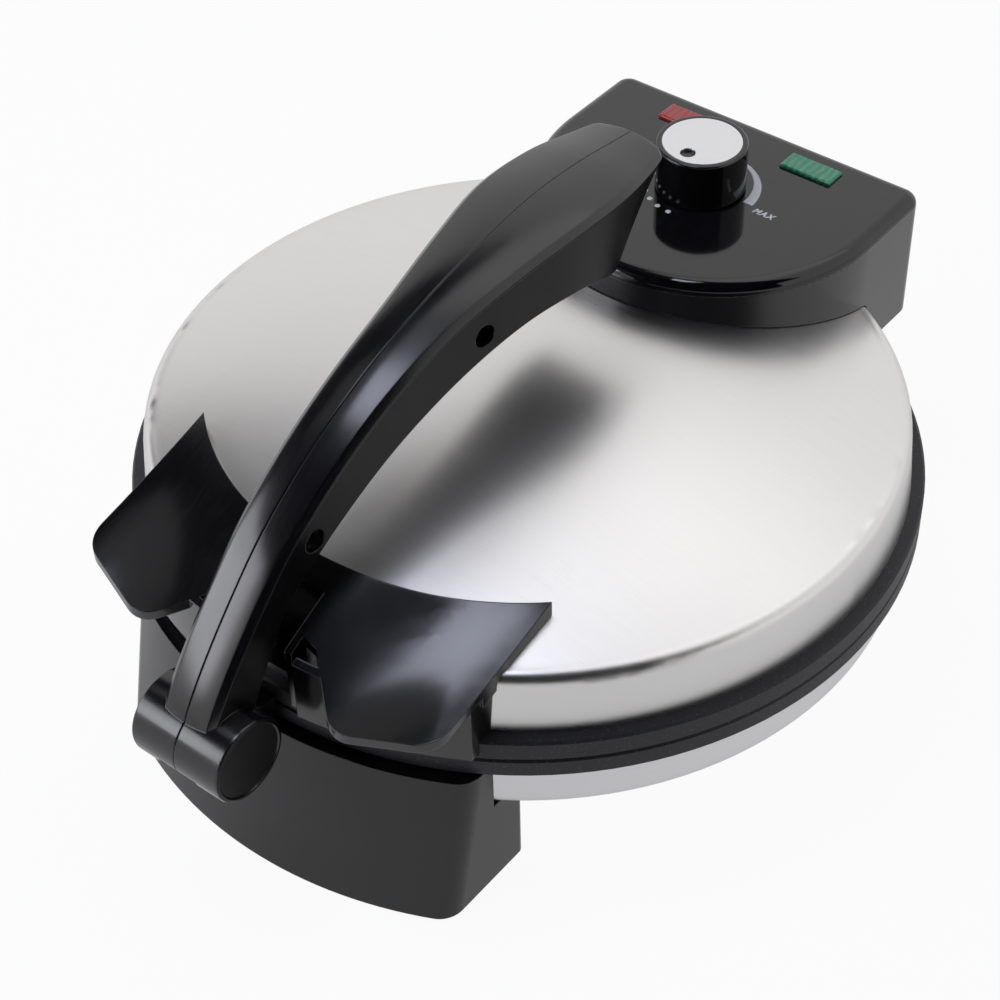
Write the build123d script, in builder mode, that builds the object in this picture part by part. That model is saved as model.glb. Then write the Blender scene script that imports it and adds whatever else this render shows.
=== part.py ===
"""Electric roti maker: a countertop press cooker with a hinged lid and a pressing lever.

Millimetres. Z points up from the worktop, the lever's hinge is in front (-Y), the lid's hinge behind (+Y).
The origin is the middle of the closed appliance's footprint. Heights are measured from the worktop;
Y positions in sketches are measured from the axis that both round cooking plates share.
"""

import os
from math import cos, radians, sin, sqrt

from build123d import *

os.makedirs("parts", exist_ok=True)

# ---------------------------------------------------------------- driving dimensions
running_gap = 0.3  # between pieces that pass each other
hole_fit = 0.05  # radial clearance of pins, studs and screws in their holes

plate_radius = 135.0
seam_height = 64.0  # where the two plates meet
lower_rim = 7.4
upper_rim = 8.0
cooking_recess = 1.0
cooking_border = 8.0
plate_spigot = 2.6  # how far each plate's body stands into its pan or shell
boss_length = 9.0
stud_circle = 0.37 * plate_radius
stud_radius = 2.0
nut_height = 3.2

rim_overhang = 5.0  # how far the plates stand out beyond the pan
pan_radius = plate_radius - rim_overhang
pan_depth = 20.3
pan_wall = 1.0
pan_corner = 5.0

skirt_radius = plate_radius - 4.6  # lid shell at its lower edge
shoulder_radius = skirt_radius - 1.6
shoulder_height = 18.5  # straight part of the skirt
dome_radius_at_edge = shoulder_radius - 4.2
dome_rise = 39.0  # skirt's lower edge to the top of the dome
lid_wall = 0.8

element_circle = 0.63 * plate_radius
element_radius = 3.3
shield_radius = 0.83 * plate_radius
shield_thickness = 0.8

foot_bottom = 1.5
foot_top_radius = plate_radius + 4.1
foot_toe_radius = foot_top_radius + 11.1  # front face at the worktop
foot_half_width = 71.0
foot_corner = 9.0  # rounding of the two front corners
foot_back = -0.7 * plate_radius
foot_wall = 2.5
pad_radius = 7.0
pad_depth = 2.5

housing_half_width = 54.0
housing_front = 0.7 * plate_radius
housing_back = plate_radius + 7.4
housing_top = 53.5
housing_corner = 8.0
cover_thickness = 2.0
gland_height = 22.0
gland_radius = 6.5

hinge_height = 60.0
hinge_pin_radius = 2.5
knuckle_radius = 6.0
hinge_y = housing_back - knuckle_radius
ear_inner = 36.0
ear_width = 7.5

barrel_y = -plate_radius - 24.6
barrel_height = 67.4
barrel_radius = 14.5
barrel_half_length = 18.0
lug_half_width = 7.4
lug_radius = 9.0
lever_pin_radius = 3.0
lever_pin_half_length = 16.5
lug_angle = 9.0  # half opening of the lug, seen from the lever's pin
lever_swing = 153.0  # degrees from the pressed position to fully forward
slot_margin = 1.5  # degrees between the lug and the end of the barrel's slot
lever_wall = 2.8
lever_screw_radius = 1.6

box_half_width = 64.5
box_arc_y = plate_radius - 26.0
box_back = housing_back + 2.0
box_bottom = 73.0
box_top = 122.9
box_wall = 2.5
box_corner = 6.0
panel_thickness = 5.0
panel_edge = 4.4

lamp_length = 20.7
lamp_width = 9.2
lamp_x = 26.3
lamp_y = housing_back - 11.4
lamp_stand = 1.3

knob_y = plate_radius - 34.7
knob_radius = 16.1
knob_bottom = 123.9
knob_top = 141.6
cap_radius = 14.1
cap_thickness = 1.2
pointer_offset = 8.8
pointer_radius = 2.7
spindle_radius = 3.0

wing_back_radius = plate_radius - 27.5
wing_stand = 6.5  # the wings' rear edge above the dome
wing_half_width = 71.8
wing_thickness = 3.4
wing_lip = 7.5
bracket_radius = plate_radius + 3.3
bracket_wall = 2.5
bracket_bottom = 67.0
bracket_opening = 17.0

# ---------------------------------------------------------------- derived places
axis_y = (barrel_radius - barrel_y - box_back) / 2  # the plates' axis, from the middle of the footprint
lower_rim_bottom = seam_height - lower_rim
upper_rim_top = seam_height + upper_rim
pan_bottom = lower_rim_bottom - pan_depth
panel_bottom = box_top - panel_thickness

side = Plane(origin=(0, axis_y, 0), x_dir=(0, 1, 0), z_dir=(1, 0, 0))
section = Plane(origin=(0, axis_y, 0), x_dir=(1, 0, 0), z_dir=(0, -1, 0))
spin = Axis((0, axis_y, 0), (0, 0, 1))


def level(height):
    """Horizontal plane at a height, centred on the plates' axis."""
    return Plane((0, axis_y, height))


def side_at(x):
    """Vertical plane across the appliance's width: Y along the sketch, height up."""
    return Plane(origin=(x, axis_y, 0), x_dir=(0, 1, 0), z_dir=(1, 0, 0))


# ---------------------------------------------------------------- base pan
# Deep-drawn stainless pan with a rounded bottom edge, open at the top where the lower plate sits.
with BuildPart() as base_pan:
    with BuildSketch(level(pan_bottom)):
        Circle(pan_radius)
    extrude(amount=pan_depth)
    fillet(base_pan.edges().filter_by(GeomType.CIRCLE).sort_by(Axis.Z)[0], pan_corner)
    offset(amount=-pan_wall, openings=base_pan.faces().sort_by(Axis.Z)[-1])
    with BuildSketch(level(pan_bottom)):
        Circle(stud_radius + hole_fit)
    extrude(amount=pan_wall, mode=Mode.SUBTRACT)
base_pan.part.label = "base_pan"
export_step(base_pan.part, "parts/base_pan.step")

# ---------------------------------------------------------------- cooking plates
# Cast plates with a raised border; each body stands into its pan or shell and carries three stud bosses.
plate_body_radius = pan_radius - pan_wall - 2 * running_gap
lower_body_bottom = lower_rim_bottom - plate_spigot
upper_body_top = upper_rim_top + plate_spigot
lower_boss_end = lower_body_bottom - boss_length
upper_boss_end = upper_body_top + boss_length
stud_embed = 6.0

with BuildPart() as lower_plate:
    with BuildSketch(level(lower_rim_bottom)):
        Circle(plate_radius)
    extrude(amount=lower_rim)
    chamfer(lower_plate.edges().filter_by(GeomType.CIRCLE), 0.8)
    with BuildSketch(level(lower_body_bottom)):
        Circle(plate_body_radius)
    extrude(amount=plate_spigot)
    with BuildSketch(level(seam_height)):
        Circle(plate_radius - cooking_border)
    extrude(amount=-cooking_recess, mode=Mode.SUBTRACT)
    with BuildSketch(level(lower_boss_end)):
        with PolarLocations(stud_circle, 3, start_angle=90):
            Circle(2.5 * stud_radius)
    extrude(amount=boss_length)
    with BuildSketch(level(pan_bottom + pan_wall)):
        Circle(2.5 * stud_radius)
    extrude(until=Until.NEXT)
    with BuildSketch(level(lower_boss_end)):
        with PolarLocations(stud_circle, 3, start_angle=90):
            Circle(stud_radius + hole_fit)
    extrude(amount=stud_embed, mode=Mode.SUBTRACT)
    with BuildSketch(level(pan_bottom + pan_wall)):
        Circle(stud_radius + hole_fit)
    extrude(amount=stud_embed, mode=Mode.SUBTRACT)
lower_plate.part.label = "lower_plate"
export_step(lower_plate.part, "parts/lower_plate.step")

with BuildPart() as upper_plate:
    with BuildSketch(level(seam_height)):
        Circle(plate_radius)
    extrude(amount=upper_rim)
    chamfer(upper_plate.edges().filter_by(GeomType.CIRCLE), 0.8)
    with BuildSketch(level(upper_rim_top)):
        Circle(plate_body_radius)
    extrude(amount=plate_spigot)
    with BuildSketch(level(seam_height)):
        Circle(plate_radius - cooking_border)
    extrude(amount=cooking_recess, mode=Mode.SUBTRACT)
    with BuildSketch(level(upper_body_top)):
        with PolarLocations(stud_circle, 3, start_angle=90):
            Circle(2.5 * stud_radius)
    extrude(amount=boss_length)
    with BuildSketch(level(upper_boss_end)):
        with PolarLocations(stud_circle, 3, start_angle=90):
            Circle(stud_radius + hole_fit)
    extrude(amount=-stud_embed, mode=Mode.SUBTRACT)
upper_plate.part.label = "upper_plate"
export_step(upper_plate.part, "parts/upper_plate.step")

# ---------------------------------------------------------------- heating elements
# Tubular elements bent to an open ring against each plate, with a straight cold end at each tip.
element_gap = 40.0  # degrees left open between the tips
cold_end = 8.0
element_turn = 360 - element_gap
tip_angle = 90 + element_gap / 2
terminal_radius = 1.6
terminal_spread = element_gap / 2 + 2.0  # keeps each terminal inside the end of the tube

with BuildPart() as lower_element:
    ring_height = lower_body_bottom - element_radius
    with BuildLine(level(ring_height)) as lower_ring:
        CenterArc((0, 0), element_circle, tip_angle, element_turn)
    with BuildSketch(Plane(lower_ring.line @ 0, z_dir=lower_ring.line % 0)):
        Circle(element_radius)
    sweep(path=lower_ring.line)
    with BuildSketch(level(ring_height)):
        for turn in (90 - terminal_spread, 90 + terminal_spread):
            with PolarLocations(element_circle, 1, start_angle=turn):
                Circle(terminal_radius)
    extrude(amount=-cold_end)
lower_element.part.label = "lower_element"
export_step(lower_element.part, "parts/lower_element.step")

with BuildPart() as upper_element:
    ring_height = upper_body_top + element_radius
    with BuildLine(level(ring_height)) as upper_ring:
        CenterArc((0, 0), element_circle, tip_angle, element_turn)
    with BuildSketch(Plane(upper_ring.line @ 0, z_dir=upper_ring.line % 0)):
        Circle(element_radius)
    sweep(path=upper_ring.line)
upper_element.part.label = "upper_element"
export_step(upper_element.part, "parts/upper_element.step")

# ---------------------------------------------------------------- heat shields
# Thin aluminium discs with a turned rim that hold the elements to the plates.
shield_rim = 4.0
terminal_slot = 16.0

with BuildPart() as lower_heat_shield:
    with BuildSketch(level(lower_boss_end)):
        Circle(shield_radius)
    extrude(amount=shield_rim)
    with BuildSketch(level(lower_boss_end)):
        Circle(shield_radius - shield_thickness)
    extrude(amount=shield_rim, mode=Mode.SUBTRACT)
    with BuildSketch(level(lower_boss_end)):
        Circle(shield_radius)
        Circle(3 * stud_radius, mode=Mode.SUBTRACT)
        with PolarLocations(stud_circle, 3, start_angle=90):
            Circle(stud_radius + hole_fit, mode=Mode.SUBTRACT)
        for turn in (90 - terminal_spread, 90 + terminal_spread):
            with PolarLocations(element_circle, 1, start_angle=turn):
                Circle(terminal_slot / 2, mode=Mode.SUBTRACT)
    extrude(amount=-shield_thickness)
lower_heat_shield.part.label = "lower_heat_shield"
export_step(lower_heat_shield.part, "parts/lower_heat_shield.step")

with BuildPart() as upper_heat_shield:
    with BuildSketch(level(upper_boss_end)):
        Circle(shield_radius)
        Circle(shield_radius - shield_thickness, mode=Mode.SUBTRACT)
    extrude(amount=-shield_rim)
    with BuildSketch(level(upper_boss_end)):
        Circle(shield_radius)
        with PolarLocations(stud_circle, 3, start_angle=90):
            Circle(stud_radius + hole_fit, mode=Mode.SUBTRACT)
    extrude(amount=shield_thickness)
upper_heat_shield.part.label = "upper_heat_shield"
export_step(upper_heat_shield.part, "parts/upper_heat_shield.step")

# ---------------------------------------------------------------- studs and nuts
stud_beyond_nut = 1.0

with BuildPart() as lower_studs:
    with BuildSketch(level(lower_boss_end + stud_embed)):
        with PolarLocations(stud_circle, 3, start_angle=90):
            Circle(stud_radius)
    extrude(amount=-(stud_embed + shield_thickness + nut_height + stud_beyond_nut))
    with BuildSketch(level(lower_boss_end - shield_thickness)):
        with PolarLocations(stud_circle, 3, start_angle=90):
            RegularPolygon(1.75 * stud_radius, 6)
    extrude(amount=-nut_height)
lower_studs.part.label = "lower_studs"
export_step(lower_studs.part, "parts/lower_studs.step")

with BuildPart() as upper_studs:
    with BuildSketch(level(upper_boss_end - stud_embed)):
        with PolarLocations(stud_circle, 3, start_angle=90):
            Circle(stud_radius)
    extrude(amount=stud_embed + shield_thickness + nut_height + stud_beyond_nut)
    with BuildSketch(level(upper_boss_end + shield_thickness)):
        with PolarLocations(stud_circle, 3, start_angle=90):
            RegularPolygon(1.75 * stud_radius, 6)
    extrude(amount=nut_height)
upper_studs.part.label = "upper_studs"
export_step(upper_studs.part, "parts/upper_studs.step")

with BuildPart() as pan_screw:
    with BuildSketch(level(pan_bottom + pan_wall + stud_embed)):
        Circle(stud_radius)
    extrude(amount=-(stud_embed + pan_wall))
    with BuildSketch(level(pan_bottom)):
        Circle(2 * stud_radius)
    extrude(amount=-stud_radius)
    chamfer(pan_screw.edges().filter_by(GeomType.CIRCLE).sort_by(Axis.Z)[0], 0.6)
pan_screw.part.label = "pan_screw"
export_step(pan_screw.part, "parts/pan_screw.step")

# ---------------------------------------------------------------- front foot
# Moulded shell, open below, wrapped round the pan: conical front, a ledge that runs under the pan,
# and a lug in front that carries the lever's pin.
foot_top = lower_rim_bottom - running_gap
foot_height = foot_top - foot_bottom
foot_slope = (foot_toe_radius - foot_top_radius) / foot_top
foot_floor_radius = foot_toe_radius - foot_slope * foot_bottom
foot_depth = foot_toe_radius + foot_back
foot_mid = -(foot_toe_radius - foot_back) / 2
ledge_y = 26.0 - pan_radius
foot_screw_x = 46.0
foot_pad_x = 60.0
foot_pad_y = 29.2 - foot_toe_radius
screw_radius = 1.8
screw_head_radius = 3.4
screw_head_height = 2.2
screw_reach = 5.0
pan_seat_radius = pan_radius + running_gap
pad_boss_height = 8.0
lug_top = barrel_height + barrel_radius * sin(radians(lug_angle))
tab_back = plate_radius + 2.0
front_inner_radius = foot_top_radius - foot_wall

with BuildPart() as foot_core:
    with BuildSketch(level(foot_bottom)):
        Circle(foot_floor_radius - foot_wall)
    with BuildSketch(level(foot_top - foot_wall)):
        Circle(front_inner_radius)
    loft()
    with BuildSketch(level(foot_bottom)):
        with Locations((0, foot_mid)):
            Rectangle(2 * (foot_half_width - foot_wall), foot_depth - 2 * foot_wall)
    extrude(amount=foot_height, mode=Mode.INTERSECT)
    core_sides = foot_core.faces().filter_by(Axis.X)
    fillet([face.edges().sort_by(Axis.Y)[0] for face in core_sides], foot_corner - foot_wall)
    with BuildSketch(level(pan_bottom - foot_wall)):
        Circle(pan_seat_radius + foot_wall)
    extrude(amount=foot_top, mode=Mode.SUBTRACT)

with BuildPart() as front_foot:
    with BuildSketch(level(foot_bottom)):
        Circle(foot_floor_radius)
    with BuildSketch(level(foot_top)):
        Circle(foot_top_radius)
    loft()
    with BuildSketch(level(foot_bottom)):
        with Locations((0, foot_mid)):
            Rectangle(2 * foot_half_width, foot_depth)
    extrude(amount=foot_height, mode=Mode.INTERSECT)
    fillet(front_foot.edges().filter_by(Axis.Z), foot_wall)
    foot_sides = front_foot.faces().filter_by(Axis.X)
    fillet([face.edges().sort_by(Axis.Y)[0] for face in foot_sides], foot_corner)
    with BuildSketch(level(pan_bottom)):
        Circle(pan_seat_radius)
    extrude(amount=foot_top, mode=Mode.SUBTRACT)
    add(foot_core.part, mode=Mode.SUBTRACT)
    with BuildSketch(level(foot_bottom)):
        with Locations((-foot_pad_x, foot_pad_y), (foot_pad_x, foot_pad_y)):
            Circle(pad_radius + foot_wall)
    extrude(amount=pad_boss_height)
    with BuildSketch(level(foot_bottom)):
        with Locations((-foot_pad_x, foot_pad_y), (foot_pad_x, foot_pad_y)):
            Circle(pad_radius + hole_fit)
    extrude(amount=pad_depth, mode=Mode.SUBTRACT)
    with BuildSketch(level(pan_bottom)):
        with Locations((-foot_screw_x, ledge_y), (foot_screw_x, ledge_y)):
            Circle(screw_radius + hole_fit)
    extrude(amount=-2 * foot_wall, mode=Mode.SUBTRACT)
    with BuildSketch(side_at(-lug_half_width)):
        with BuildLine():
            Polyline(
                (-tab_back, foot_top - foot_wall),
                (-tab_back, lug_top),
                (barrel_y + barrel_radius, lug_top),
                (barrel_y, barrel_height),
                (barrel_y + barrel_radius, barrel_height - barrel_radius * sin(radians(lug_angle))),
                (-foot_top_radius - foot_wall, foot_top),
                (-foot_top_radius - foot_wall / 2, foot_top - 3 * foot_wall),
                close=True,
            )
        make_face()
        with Locations((barrel_y, barrel_height)):
            Circle(lug_radius)
    extrude(amount=2 * lug_half_width)
    with BuildSketch(side_at(-lug_half_width)):
        with Locations((barrel_y, barrel_height)):
            Circle(lever_pin_radius + hole_fit)
    extrude(amount=2 * lug_half_width, mode=Mode.SUBTRACT)
front_foot.part.label = "front_foot"
export_step(front_foot.part, "parts/front_foot.step")

# ---------------------------------------------------------------- rear housing
# Moulded box behind the pan with a ledge under it, two hinge ears on top and the cord's gland behind.
housing_depth = housing_back - housing_front
housing_mid = (housing_back + housing_front) / 2
housing_pad_x = 40.0
housing_pad_y = housing_back - 12.9
gland_flange = 2.0
housing_screw_x = 36.0
cover_screw_x = 22.0
cover_screw_y = housing_back - 18.4

with BuildPart() as housing_core:
    with BuildSketch(level(foot_bottom)):
        with Locations((0, housing_mid)):
            RectangleRounded(
                2 * (housing_half_width - foot_wall), housing_depth - 2 * foot_wall, housing_corner - foot_wall
            )
    extrude(amount=housing_top - foot_wall - foot_bottom)
    with BuildSketch(level(pan_bottom - foot_wall)):
        Circle(pan_seat_radius + foot_wall)
    extrude(amount=foot_top, mode=Mode.SUBTRACT)

with BuildPart() as rear_housing:
    with BuildSketch(level(foot_bottom)):
        with Locations((0, housing_mid)):
            Rectangle(2 * housing_half_width, housing_depth)
    extrude(amount=housing_top - foot_bottom)
    fillet(rear_housing.edges().filter_by(Axis.Z).group_by(Axis.Y)[-1], housing_corner)
    with BuildSketch(level(pan_bottom)):
        Circle(pan_seat_radius)
    extrude(amount=foot_top, mode=Mode.SUBTRACT)
    add(housing_core.part, mode=Mode.SUBTRACT)
    with BuildSketch(level(pan_bottom)):
        with Locations((-housing_screw_x, -ledge_y), (housing_screw_x, -ledge_y)):
            Circle(screw_radius + hole_fit)
    extrude(amount=-2 * foot_wall, mode=Mode.SUBTRACT)
    with BuildSketch(level(foot_bottom + cover_thickness)):
        with Locations((-cover_screw_x, cover_screw_y), (cover_screw_x, cover_screw_y)):
            Circle(screw_radius + foot_wall)
            Circle(screw_radius + hole_fit, mode=Mode.SUBTRACT)
    extrude(amount=pan_bottom - foot_bottom - cover_thickness - foot_wall / 2)
    for ear_x in (-ear_inner - ear_width, ear_inner):
        with BuildSketch(side_at(ear_x)):
            with Locations((hinge_y, hinge_height)):
                Circle(knuckle_radius)
            with BuildLine():
                Polyline(
                    (hinge_y - knuckle_radius, housing_top - foot_wall),
                    (hinge_y - knuckle_radius, hinge_height),
                    (hinge_y + knuckle_radius, hinge_height),
                    (hinge_y + knuckle_radius, housing_top - foot_wall),
                    close=True,
                )
            make_face()
            with Locations((hinge_y, hinge_height)):
                Circle(hinge_pin_radius + hole_fit, mode=Mode.SUBTRACT)
        extrude(amount=ear_width)
    with BuildSketch(Plane.XZ.offset(-(housing_back + axis_y))):
        with Locations((0, gland_height)):
            Circle(gland_radius)
    extrude(amount=2 * foot_wall, mode=Mode.SUBTRACT)
rear_housing.part.label = "rear_housing"
export_step(rear_housing.part, "parts/rear_housing.step")

with BuildPart() as housing_cover:
    with BuildSketch(level(foot_bottom)):
        with Locations((0, housing_mid)):
            RectangleRounded(
                2 * (housing_half_width - foot_wall - running_gap),
                housing_depth - 2 * foot_wall - 2 * running_gap,
                housing_corner - foot_wall,
            )
        with Locations((-cover_screw_x, cover_screw_y), (cover_screw_x, cover_screw_y)):
            Circle(screw_radius + hole_fit, mode=Mode.SUBTRACT)
        with Locations((-housing_pad_x, housing_pad_y), (housing_pad_x, housing_pad_y)):
            Circle(pad_radius + hole_fit, mode=Mode.SUBTRACT)
    extrude(amount=cover_thickness)
    with BuildSketch(level(foot_bottom)):
        with Locations((-housing_pad_x, housing_pad_y), (housing_pad_x, housing_pad_y)):
            Circle(pad_radius + foot_wall)
    extrude(amount=pad_depth + cover_thickness)
    with BuildSketch(level(foot_bottom)):
        with Locations((-housing_pad_x, housing_pad_y), (housing_pad_x, housing_pad_y)):
            Circle(pad_radius + hole_fit)
    extrude(amount=pad_depth, mode=Mode.SUBTRACT)
housing_cover.part.label = "housing_cover"
export_step(housing_cover.part, "parts/housing_cover.step")

# ---------------------------------------------------------------- feet, gland and terminal block
with BuildPart() as rubber_feet:
    with BuildSketch(level(0)):
        with Locations(
            (-foot_pad_x, foot_pad_y),
            (foot_pad_x, foot_pad_y),
            (-housing_pad_x, housing_pad_y),
            (housing_pad_x, housing_pad_y),
        ):
            Circle(pad_radius)
    extrude(amount=foot_bottom + pad_depth)
    chamfer(rubber_feet.edges().filter_by(GeomType.CIRCLE).group_by(Axis.Z)[0], 0.5)
rubber_feet.part.label = "rubber_feet"
export_step(rubber_feet.part, "parts/rubber_feet.step")

with BuildPart() as cord_gland:
    with BuildSketch(Plane.XZ.offset(-(housing_back + axis_y))):
        with Locations((0, gland_height)):
            Circle(gland_radius - hole_fit)
    extrude(amount=foot_wall)
    with BuildSketch(Plane.XZ.offset(-(housing_back + axis_y - foot_wall))):
        with Locations((0, gland_height)):
            Circle(gland_radius + gland_flange)
    extrude(amount=gland_flange)
    with BuildSketch(Plane.XZ.offset(-(housing_back + axis_y))):
        with Locations((0, gland_height)):
            Circle(gland_radius / 2)
    extrude(amount=foot_wall + gland_flange, mode=Mode.SUBTRACT)
cord_gland.part.label = "cord_gland"
export_step(cord_gland.part, "parts/cord_gland.step")

terminal_pitch = 8.0
terminal_height = 14.0
terminal_y = housing_mid - 8.0

with BuildPart() as terminal_block:
    with BuildSketch(level(foot_bottom + cover_thickness)):
        with Locations((0, terminal_y)):
            Rectangle(3 * terminal_pitch, terminal_height)
    extrude(amount=terminal_height)
    with BuildSketch(level(foot_bottom + cover_thickness + terminal_height)):
        with Locations((0, terminal_y)):
            with GridLocations(terminal_pitch, 0, 3, 1):
                Circle(screw_radius + 4 * hole_fit)
    extrude(amount=-2 * screw_radius, mode=Mode.SUBTRACT)
terminal_block.part.label = "terminal_block"
export_step(terminal_block.part, "parts/terminal_block.step")

# ---------------------------------------------------------------- base fasteners and pins
ledge_screw_places = (
    (-foot_screw_x, ledge_y),
    (foot_screw_x, ledge_y),
    (-housing_screw_x, -ledge_y),
    (housing_screw_x, -ledge_y),
)

with BuildPart() as foot_screws:
    with BuildSketch(level(pan_bottom - foot_wall)):
        with Locations(*ledge_screw_places):
            Circle(screw_head_radius)
    extrude(amount=-screw_head_height)
    with BuildSketch(level(pan_bottom - foot_wall)):
        with Locations(*ledge_screw_places):
            Circle(screw_radius)
    extrude(amount=foot_wall)
foot_screws.part.label = "foot_screws"
export_step(foot_screws.part, "parts/foot_screws.step")

with BuildPart() as cover_screws:
    with BuildSketch(level(foot_bottom)):
        with Locations((-cover_screw_x, cover_screw_y), (cover_screw_x, cover_screw_y)):
            Circle(screw_radius)
    extrude(amount=cover_thickness + screw_reach)
    with BuildSketch(level(foot_bottom)):
        with Locations((-cover_screw_x, cover_screw_y), (cover_screw_x, cover_screw_y)):
            Circle(screw_head_radius)
    extrude(amount=-foot_bottom / 2)
cover_screws.part.label = "cover_screws"
export_step(cover_screws.part, "parts/cover_screws.step")

pin_head = 1.2
pin_head_radius = hinge_pin_radius + 1.5
knuckle_inner = ear_inner + ear_width + running_gap
knuckle_outer = knuckle_inner + ear_width

with BuildPart() as hinge_pins:
    with BuildSketch(side_at(ear_inner)):
        with Locations((hinge_y, hinge_height)):
            Circle(hinge_pin_radius)
    extrude(amount=knuckle_outer - ear_inner)
    with BuildSketch(side_at(ear_inner)):
        with Locations((hinge_y, hinge_height)):
            Circle(pin_head_radius)
    extrude(amount=-pin_head)
    mirror(about=Plane.YZ)
hinge_pins.part.label = "hinge_pins"
export_step(hinge_pins.part, "parts/hinge_pins.step")

with BuildPart() as lever_pin:
    with BuildSketch(side_at(-lever_pin_half_length)):
        with Locations((barrel_y, barrel_height)):
            Circle(lever_pin_radius)
    extrude(amount=2 * lever_pin_half_length)
    chamfer(lever_pin.edges().filter_by(GeomType.CIRCLE), 0.4)
lever_pin.part.label = "lever_pin"
export_step(lever_pin.part, "parts/lever_pin.step")

# ---------------------------------------------------------------- lid shell
# Pressed stainless dome: slightly tapered skirt, tight shoulder radius, shallow spherical top.
skirt_bottom = upper_rim_top
dome_top = skirt_bottom + dome_rise
shoulder_z = skirt_bottom + shoulder_height
bracket_screw_x = 48.0
bracket_screw_y = 31.0 - plate_radius
box_boss_x = box_half_width - 6.0
box_boss_y = plate_radius - 35.0
edge_height = dome_top - 16.9  # where the dome meets the shoulder


def dome_height(radius):
    """Height of the dome's outer surface at a distance from the plates' axis."""
    fall = dome_top - edge_height
    sphere = (dome_radius_at_edge**2 + fall**2) / (2 * fall)
    return dome_top - sphere + sqrt(sphere**2 - radius**2)


def lid_block(grow):
    """Solid block of the lid's outer shape, grown outwards by a clearance."""
    with BuildPart() as block:
        with BuildSketch(section):
            with BuildLine():
                skirt = Line((skirt_radius + grow, skirt_bottom), (shoulder_radius + grow, shoulder_z))
                dome = ThreePointArc(
                    (dome_radius_at_edge, edge_height + grow),
                    (dome_radius_at_edge / 2, dome_height(dome_radius_at_edge / 2) + grow),
                    (0, dome_top + grow),
                )
                TangentArc(skirt @ 1, dome @ 0, tangent=skirt % 1)
                Polyline(dome @ 1, (0, skirt_bottom), skirt @ 0)
            make_face()
        revolve(axis=spin)
    return block.part


lid_screw_places = (
    (-bracket_screw_x, bracket_screw_y),
    (bracket_screw_x, bracket_screw_y),
    (-box_boss_x, box_boss_y),
    (box_boss_x, box_boss_y),
)
bracket_hole_top = dome_height(sqrt(bracket_screw_x**2 + bracket_screw_y**2)) + 2.5

with BuildPart() as lid_shell:
    add(lid_block(0))
    add(lid_block(-lid_wall), mode=Mode.SUBTRACT)
    with BuildSketch(level(edge_height - upper_rim)):
        with Locations(*lid_screw_places):
            Circle(screw_radius + hole_fit)
    extrude(amount=dome_rise, mode=Mode.SUBTRACT)
lid_shell.part.label = "lid_shell"
export_step(lid_shell.part, "parts/lid_shell.step")

# ---------------------------------------------------------------- front bracket with the two wings
# One moulding on the lid's front: a curved front wall, open in the middle for the lever, and a cupped
# plate whose rear edge lies on the dome and whose front runs out into two lifting wings.
bracket_inner_radius = bracket_radius - bracket_wall
wing_rows = (  # (x, drop per mm forward, how far the middle hangs below the two ends)
    (-0.5, 0.50, -1.2),
    (20, 0.50, -0.6),
    (37, 0.45, 1.0),
    (55, 0.34, 1.6),
    (76, 0.245, 1.6),
)
wing_front = -plate_radius - 23.0
wing_behind = 6.0
wing_corner_x = 72.1
wing_corner_y = -plate_radius - 1.8
wing_toe_x = 40.0
wing_toe_y = -plate_radius - 12.0
wing_notch_x = 20.5
wing_notch_y = 5.0 - plate_radius
wing_rounding = 11.0
wing_tip_rounding = 2.5
lever_notch = 12.5  # half width of the plate's cut-out below the lever
lever_notch_y = 19.0 - plate_radius
wing_back_height = dome_height(wing_back_radius) + wing_stand
bracket_boss_radius = 4.0


def wing_block(depth):
    """Right half of a block below the wing's upper surface, as deep as asked."""
    with BuildPart() as block:
        for x, fall, hang in wing_rows:
            back = -sqrt(wing_back_radius**2 - x**2)
            top_back = (back + wing_behind, wing_back_height + fall * wing_behind)
            top_front = (wing_front, wing_back_height + fall * (wing_front - back))
            middle_y = (top_back[0] + top_front[0]) / 2
            middle_z = (top_back[1] + top_front[1]) / 2 - hang
            with BuildSketch(side_at(x)):
                with BuildLine():
                    ThreePointArc(top_back, (middle_y, middle_z), top_front)
                    Line(top_front, (top_front[0], top_front[1] - depth))
                    ThreePointArc(
                        (top_front[0], top_front[1] - depth),
                        (middle_y, middle_z - depth),
                        (top_back[0], top_back[1] - depth),
                    )
                    Line((top_back[0], top_back[1] - depth), top_back)
                make_face()
        loft()
    return block.part


def wing_plan(inset, back, corner):
    """Right half of the plate's outline from above."""
    with BuildSketch(level(0)) as plan:
        with BuildLine():
            tip_x = wing_half_width - inset
            tip = (tip_x, -sqrt(back**2 - tip_x**2))
            half = (tip_x / 2, -sqrt(back**2 - (tip_x / 2) ** 2))
            ThreePointArc((0, -back), half, tip)
            Polyline(
                tip,
                (wing_corner_x - inset, wing_corner_y),
                (wing_toe_x, wing_toe_y),
                (wing_notch_x + inset, wing_notch_y),
                (lever_notch + inset, wing_notch_y + 1),
                (lever_notch + inset, lever_notch_y + inset),
                (0, lever_notch_y + inset),
                (0, -back),
            )
        make_face()
        outer = plan.vertices().filter_by_position(Axis.X, tip_x - 1, wing_corner_x + 1)
        inner = plan.vertices().filter_by_position(Axis.X, wing_notch_x - 1, wing_notch_x + inset + 1)
        fillet(plan.vertices().group_by(Axis.Y)[0] + outer.sort_by(Axis.Y)[:1], corner)
        fillet(outer.sort_by(Axis.Y)[-1:] + inner, wing_tip_rounding)
    return plan.sketch


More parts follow.
